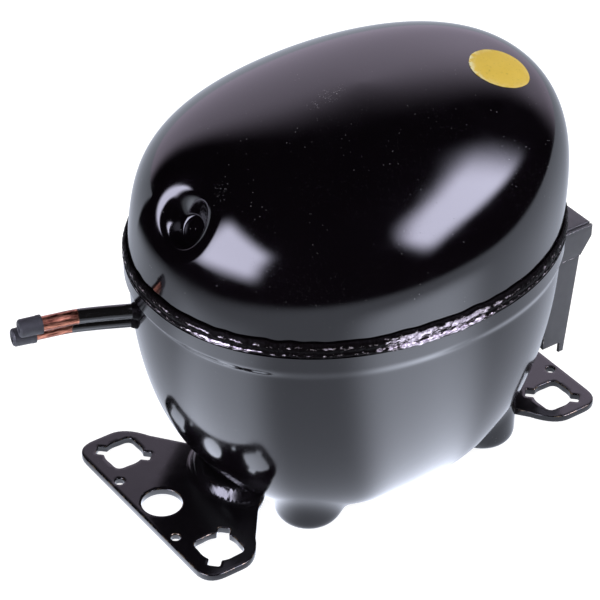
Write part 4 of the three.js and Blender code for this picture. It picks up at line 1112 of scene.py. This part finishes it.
def make_tubes():
    grip, nose, out, tube = TUBE["grip"], TUBE["nose"], TUBE["cap"], TUBE["radius"]
    profile = [(0, 0.3), (tube + 0.3, 0.3), (tube + 0.3, -grip + 0.4), (tube + 0.45, -grip), (out, -grip),
               (out, -grip + 1.6), (out - 0.12, -grip + 2.0), (out - 0.2, nose - 0.7), (out - 0.8, nose),
               (1.9, nose), (1.55, nose - 0.35), (1.3, 1.2), (0, 1.2)]
    for name, route in tube_routes().items():
        path = through(route, 12)[::-1]
        points, faces, along = swept(path, TUBE["radius"], TUBE["bore"], 32)
        piece(f"{name}_pipe", points, faces, "copper", stands_for=[f"{name}_tube"],
              finish=DRAWN_COPPER, values={"along": along})
        end, way = route[-1], unit(route[-1] - route[-2])
        cap = turned(soften(profile, 0.3, 3), end, way, 48)
        piece(f"{name}_plug", *cap, "black_rubber", body=f"{name}_stopper", stands_for=[f"{name}_cap"])


def make_root_collars():
    """The brazed fillet where each tube leaves the bowl."""
    tube, count = TUBE["radius"], 64
    rows = [(tube + 0.02, 1.6), (tube + 0.3, 1.2), (tube + 0.6, 0.4), (tube + 0.9, -0.5), (tube + 1.0, -2.6),
            (tube + 0.02, -2.6)]
    fillet = soften(rows, 0.6, 3)

    def lumps(radius, angle, height):
        return 0.25 * wander(angle, (2, 3, 5, 7), 31) * (radius - tube)

    for name, route in tube_routes().items():
        path = through(route, 40)
        at = int(np.argmax(bowl_field(path) > 0))
        way = unit(path[at + 1] - path[at])
        piece(f"{name}_braze", *turned(fillet, path[at], way, count, lumps), "painted_weld",
              values={"bright": np.zeros(count * len(fillet))})


# ---- inside ---------------------------------------------------------------------------------------
def make_springs():
    for k, (sx, sy) in enumerate(CORNERS, 1):
        share = np.linspace(0, 1, 181)
        angle = 2 * math.pi * SPRING["turns"] * share
        path = np.stack([PUMP_X + sx * SPRING["x"] + SPRING["coil"] * np.cos(angle),
                         sy * SPRING["y"] + SPRING["coil"] * np.sin(angle),
                         SPRING["low"] + (SPRING["top"] - SPRING["low"]) * share], -1)
        points, faces, _ = swept(path, SPRING["wire"], sides=12)
        spring = piece(f"coil_spring_{k}", points, faces, "bright_steel", body=None,
                       stands_for=[f"suspension_spring_{k}"])
        flex(spring)


def flex(made):
    """Bakes the piece's placement into its mesh."""
    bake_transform(made)


def make_inner_pipe():
    points, faces, _ = swept(through(np.array(PIPE["route"]), 12), PIPE["radius"], PIPE["bore"], 24)
    pipe = piece("inner_discharge_pipe", points, faces, "copper", body=None, stands_for=["discharge_loop"])
    flex(pipe)


def make_leads():
    """Three wires laid round each other from the terminal plug to the winding."""
    route = through(np.array([(x, 0, z) for x, z in LEAD["route"]]), 14)
    way = np.gradient(route, axis=0)
    side = np.array([0, 1.0, 0])
    above = np.array([unit(np.cross(w, side)) for w in way])
    share = np.linspace(0, 1, len(route))
    wires = []
    for k in range(3):
        turn = (2 * math.pi * (LEAD["turns"] * share + k / 3))[:, None]
        strand = route + LEAD["lay"] * (np.cos(turn) * side + np.sin(turn) * above)
        points, faces, _ = swept(strand, LEAD["radius"], sides=14)
        wires.append((points, faces))
    leads = piece("lead_wires", *merge(*wires), "white_plastic", body=None, stands_for=["lead_bundle"])
    flex(leads)


CARRIED = {
    "lamination_steel": ["stator_core"],
    "enamelled_copper": ["stator_winding"],
    "cast_aluminium": ["rotor", "cylinder_head"],
    "cast_iron": ["crankcase", "crankshaft"],
    "gasket_paper": ["valve_gasket", "head_gasket"],
    "white_plastic": ["suction_muffler", "terminal_plug", *(f"spring_seat_{k}" for k in range(1, 5))],
    "bright_steel": ["balance_weight", "oil_gallery_plug", "oil_pickup", "slide_block", "piston_yoke",
                     "thrust_washer", "valve_plate", "suction_reed", "discharge_reed",
                     *(f"stator_bolt_{k}" for k in range(1, 5)), *(f"head_bolt_{k}" for k in range(1, 5))],
}


def carry_over():
    """Better finishes and softened edges on the CAD nodes that stay."""
    for slot, names in CARRIED.items():
        for name in names:
            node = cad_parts[name]
            node.data.materials.clear()
            node.data.materials.append(FINISHES[slot])
            weld = node.modifiers.new("weld", "WELD")
            weld.merge_threshold = 0.00001
            edge = node.modifiers.new("edge", "BEVEL")
            edge.width, edge.segments, edge.limit_method = 0.00025, 2, "ANGLE"
            edge.angle_limit = math.radians(35)


# ---- stage ----------------------------------------------------------------------------------------
# What the gloss sees: a dark studio with two softboxes and a pale backdrop, over a pale floor. Both are
# meshes that only reflections see, and whose glow is worked out at each point. Turns are in degrees,
# counted anticlockwise from the way the camera looks; lifts are above the horizon. The softboxes' values
# are rounded from a fit of their shape to the photograph's two highlights.
LILAC = np.array([0.93, 0.92, 1.17])
PURPLE = np.array([1.02, 0.9, 1.14])
COOL = np.array([0.91, 0.97, 1.13])
LOOK = math.atan2(-view_back.y, -view_back.x)
SOFTBOX_LEFT = {
    "turn": 135, "lift": 16, "lean": -16, "long": 18.5, "wide": 21.5, "ends": 15, "sides": 19, "power": 13,
    "bow": 0.003, "taper": -0.018, "shear": 0.1,
}
SOFTBOX_RIGHT = {
    "turn": -114, "lift": 41, "lean": 31, "long": 24.5, "wide": 12.5, "ends": 19, "sides": 15, "power": 13.5,
    "bow": 0.014, "taper": 0.018, "shear": -0.34,
}
BACKDROP = {
    "turn": (-62, 66), "soft": 24, "crest": 58, "crest_turn": -10, "crest_fall": 0.013,
    "power": 1.0, "glow": 0.6, "glow_turn": -11, "glow_lift": 29, "glow_wide": 15,
}
FLOOR_GLOW = {
    "pale": 1.05, "ahead": 0.25, "ahead_turn": 75, "ahead_soft": 30,
    "pool_turns": (130, -137), "pool_width": 24, "pool_power": (1.9, 2.6), "pool_end": 340, "pool_soft": 90,
    "foot_lift": 140, "foot_start": 700, "foot_soft": 200,
}
FLOOR_END = {
    "start": 60, "near": 320, "rise": 100, "rise_over": 130, "sweep": 240, "sweep_rate": 11, "whole": 4000,
    "soft": 110, "softer": 0.8, "softer_from": 415, "softer_over": 600,
}


def floor_end(turn):
    """How far the pale floor reaches: to its whole size ahead of the camera, drawn in at the sides."""
    end = FLOOR_END
    past = (turn - end["start"]) % 360
    drawn = end["near"] + end["rise"] * smooth(past / end["rise_over"])
    drawn = drawn + (end["whole"] - drawn) * np.exp(np.minimum((past - end["sweep"]) / end["sweep_rate"], 0))
    return np.where(past > end["sweep"], end["whole"], drawn)


def soft_window(value, low, high, soft):
    return smooth((value - low) / soft) * smooth((high - value) / soft)


def softbox_glow(box, turn, lift):
    """Brightness of a leaning window with soft sides, half of each soft side outside its size."""
    across = ((turn - box["turn"] + 180) % 360 - 180) * np.cos(np.radians(lift))
    up, lean = lift - box["lift"], math.radians(box["lean"])
    along = across * math.cos(lean) + up * math.sin(lean)
    aside = up * math.cos(lean) - across * math.sin(lean) + box["bow"] * along ** 2
    along = along + box["shear"] * aside
    wide = box["wide"] * (1 + box["taper"] * along)
    return (box["power"] * smooth((box["long"] - np.abs(along)) / box["ends"] + 0.5)
            * smooth((wide - np.abs(aside)) / box["sides"] + 0.5))


def studio_glow(turn, lift):
    """Colour seen in a direction above the horizon."""
    boxes = softbox_glow(SOFTBOX_LEFT, turn, lift) + softbox_glow(SOFTBOX_RIGHT, turn, lift)
    wall = BACKDROP
    crest = wall["crest"] - wall["crest_fall"] * (turn - wall["crest_turn"]) ** 2
    back = soft_window(turn, *wall["turn"], wall["soft"]) * smooth((crest - lift) / wall["soft"])
    off = np.hypot(turn - wall["glow_turn"], lift - wall["glow_lift"]) / wall["glow_wide"]
    back *= wall["power"] + wall["glow"] * np.exp(-off ** 2)
    return boxes[..., None] * LILAC + back[..., None] * PURPLE


def floor_glow(x, y):
    """Colour of the reflected floor, which ends at a soft curve on the camera's side."""
    turn = (np.degrees(np.arctan2(y, x)) - math.degrees(LOOK) + 180) % 360 - 180
    far = np.hypot(x, y) / MM
    end = floor_end(turn)
    g = FLOOR_GLOW
    pale = g["pale"] - g["ahead"] * smooth((g["ahead_turn"] - np.abs(turn)) / g["ahead_soft"])
    for middle, power in zip(g["pool_turns"], g["pool_power"]):
        side = np.exp(-(((turn - middle) / g["pool_width"]) ** 4))
        pale = pale + power * side * smooth((g["pool_end"] - far) / g["pool_soft"])
    e = FLOOR_END
    soft = e["soft"] + e["softer"] * np.clip(end - e["softer_from"], 0, e["softer_over"])
    pale = pale * smooth((end - far) / soft + 0.4)
    foot = softbox_glow(SOFTBOX_LEFT, turn, -np.degrees(np.arctan(g["foot_lift"] / far)))
    foot = foot * smooth((far - g["foot_start"]) / g["foot_soft"])
    return pale[..., None] * COOL + foot[..., None] * LILAC


def glow_sheet(name, rings, colours):
    """A stack of closed rings whose glow only reflections see."""
    points, quads = loft(rings)
    mesh = bpy.data.meshes.new(name)
    mesh.from_pydata(points.tolist(), [], quads)
    layer = mesh.color_attributes.new("glow", "FLOAT_COLOR", "POINT")
    solid = np.c_[colours.reshape(-1, 3), np.ones(len(points))]
    layer.data.foreach_set("color", solid.astype(np.float32).ravel())
    material = bpy.data.materials.new(name)
    material.use_nodes = True
    material.cycles.emission_sampling = "NONE"
    tree = material.node_tree
    tree.nodes.clear()
    light = tree.nodes.new("ShaderNodeEmission")
    colour = tree.nodes.new("ShaderNodeAttribute")
    colour.attribute_name = "glow"
    out = tree.nodes.new("ShaderNodeOutputMaterial")
    tree.links.new(colour.outputs["Color"], light.inputs["Color"])
    tree.links.new(light.outputs[0], out.inputs["Surface"])
    mesh.materials.append(material)
    made = in_scene(name, mesh)
    made.visible_camera = made.visible_diffuse = made.visible_shadow = False
    made.visible_transmission = made.visible_volume_scatter = False


def make_studio():
    turn, lift = np.meshgrid(np.arange(-180, 180, 1.5), np.linspace(-4, 90, 84))
    way, up = LOOK + np.radians(turn), np.radians(lift)
    dome = np.stack([np.cos(way) * np.cos(up), np.sin(way) * np.cos(up), np.sin(up)], -1) * 4 + (0, 0, 0.14)
    glow_sheet("studio", dome, studio_glow(turn, lift))
    far, way = np.meshgrid(np.concatenate([np.linspace(0.001, 0.7, 90), np.linspace(0.72, 4.0, 30)]),
                           np.radians(np.arange(0, 360, 2)), indexing="ij")
    disc = np.stack([far * np.cos(way), far * np.sin(way), np.full_like(far, -0.0005)], -1)
    glow_sheet("reflected_floor", disc, floor_glow(disc[..., 0], disc[..., 1]))


def make_floor():
    material = bpy.data.materials.new("floor")
    material.use_nodes = True
    shader = material.node_tree.nodes["Principled BSDF"]
    for key, value in (("Base Color", (0.5, 0.5, 0.5, 1)), ("Roughness", 1.0), ("Specular IOR Level", 0.0),
                       ("Emission Color", (1, 1, 1, 1)), ("Emission Strength", 0.88)):
        shader.inputs[key].default_value = value
    half, level = 6.0, -MM
    mesh = bpy.data.meshes.new("floor")
    mesh.from_pydata([(sx * half, sy * half, level) for sx, sy in CORNERS], [], [[0, 1, 2, 3]])
    mesh.materials.append(material)
    floor = in_scene("floor", mesh)
    floor.visible_glossy = False


def make_lights():
    """Diffuse light only: the sky is white to the camera and dim to matt surfaces, with two lamps."""
    scene = bpy.context.scene
    scene.view_settings.view_transform = "Standard"
    scene.world = bpy.data.worlds.new("world")
    scene.world.use_nodes = True
    nodes, links = scene.world.node_tree.nodes, scene.world.node_tree.links
    path, sky = nodes.new("ShaderNodeLightPath"), nodes["Background"]
    sky.inputs["Color"].default_value = (1, 1, 1, 1)
    seen = nodes.new("ShaderNodeMath")
    seen.operation = "MULTIPLY_ADD"
    seen.inputs[1].default_value = 0.3
    links.new(path.outputs["Is Diffuse Ray"], seen.inputs[0])
    links.new(path.outputs["Is Camera Ray"], seen.inputs[2])
    links.new(seen.outputs[0], sky.inputs["Strength"])
    lamps = (("key", (-1.2, -1.4, 1.8), 38, 1.2), ("fill", (1.6, -1.0, 1.5), 22, 1.5))
    for name, place, power, width in lamps:
        data = bpy.data.lights.new(name, "AREA")
        data.energy, data.size = power, width
        lamp = in_scene(name, data)
        lamp.location = place
        lamp.rotation_mode = "QUATERNION"
        lamp.rotation_quaternion = (-Vector(place)).to_track_quat("-Z", "Y")
        lamp.visible_glossy = False


# ---- build ----------------------------------------------------------------------------------------
make_cover()
make_bowl()
make_weld()
make_label()
make_plate("mounting_plate_left", -1, "base_plate_left")
make_plate("mounting_plate_right", 1, "base_plate_right")
make_fence()
make_terminals()
make_earth_screw()
make_tubes()
make_root_collars()
make_springs()
make_inner_pipe()
make_leads()
carry_over()
make_floor()
make_studio()
make_lights()
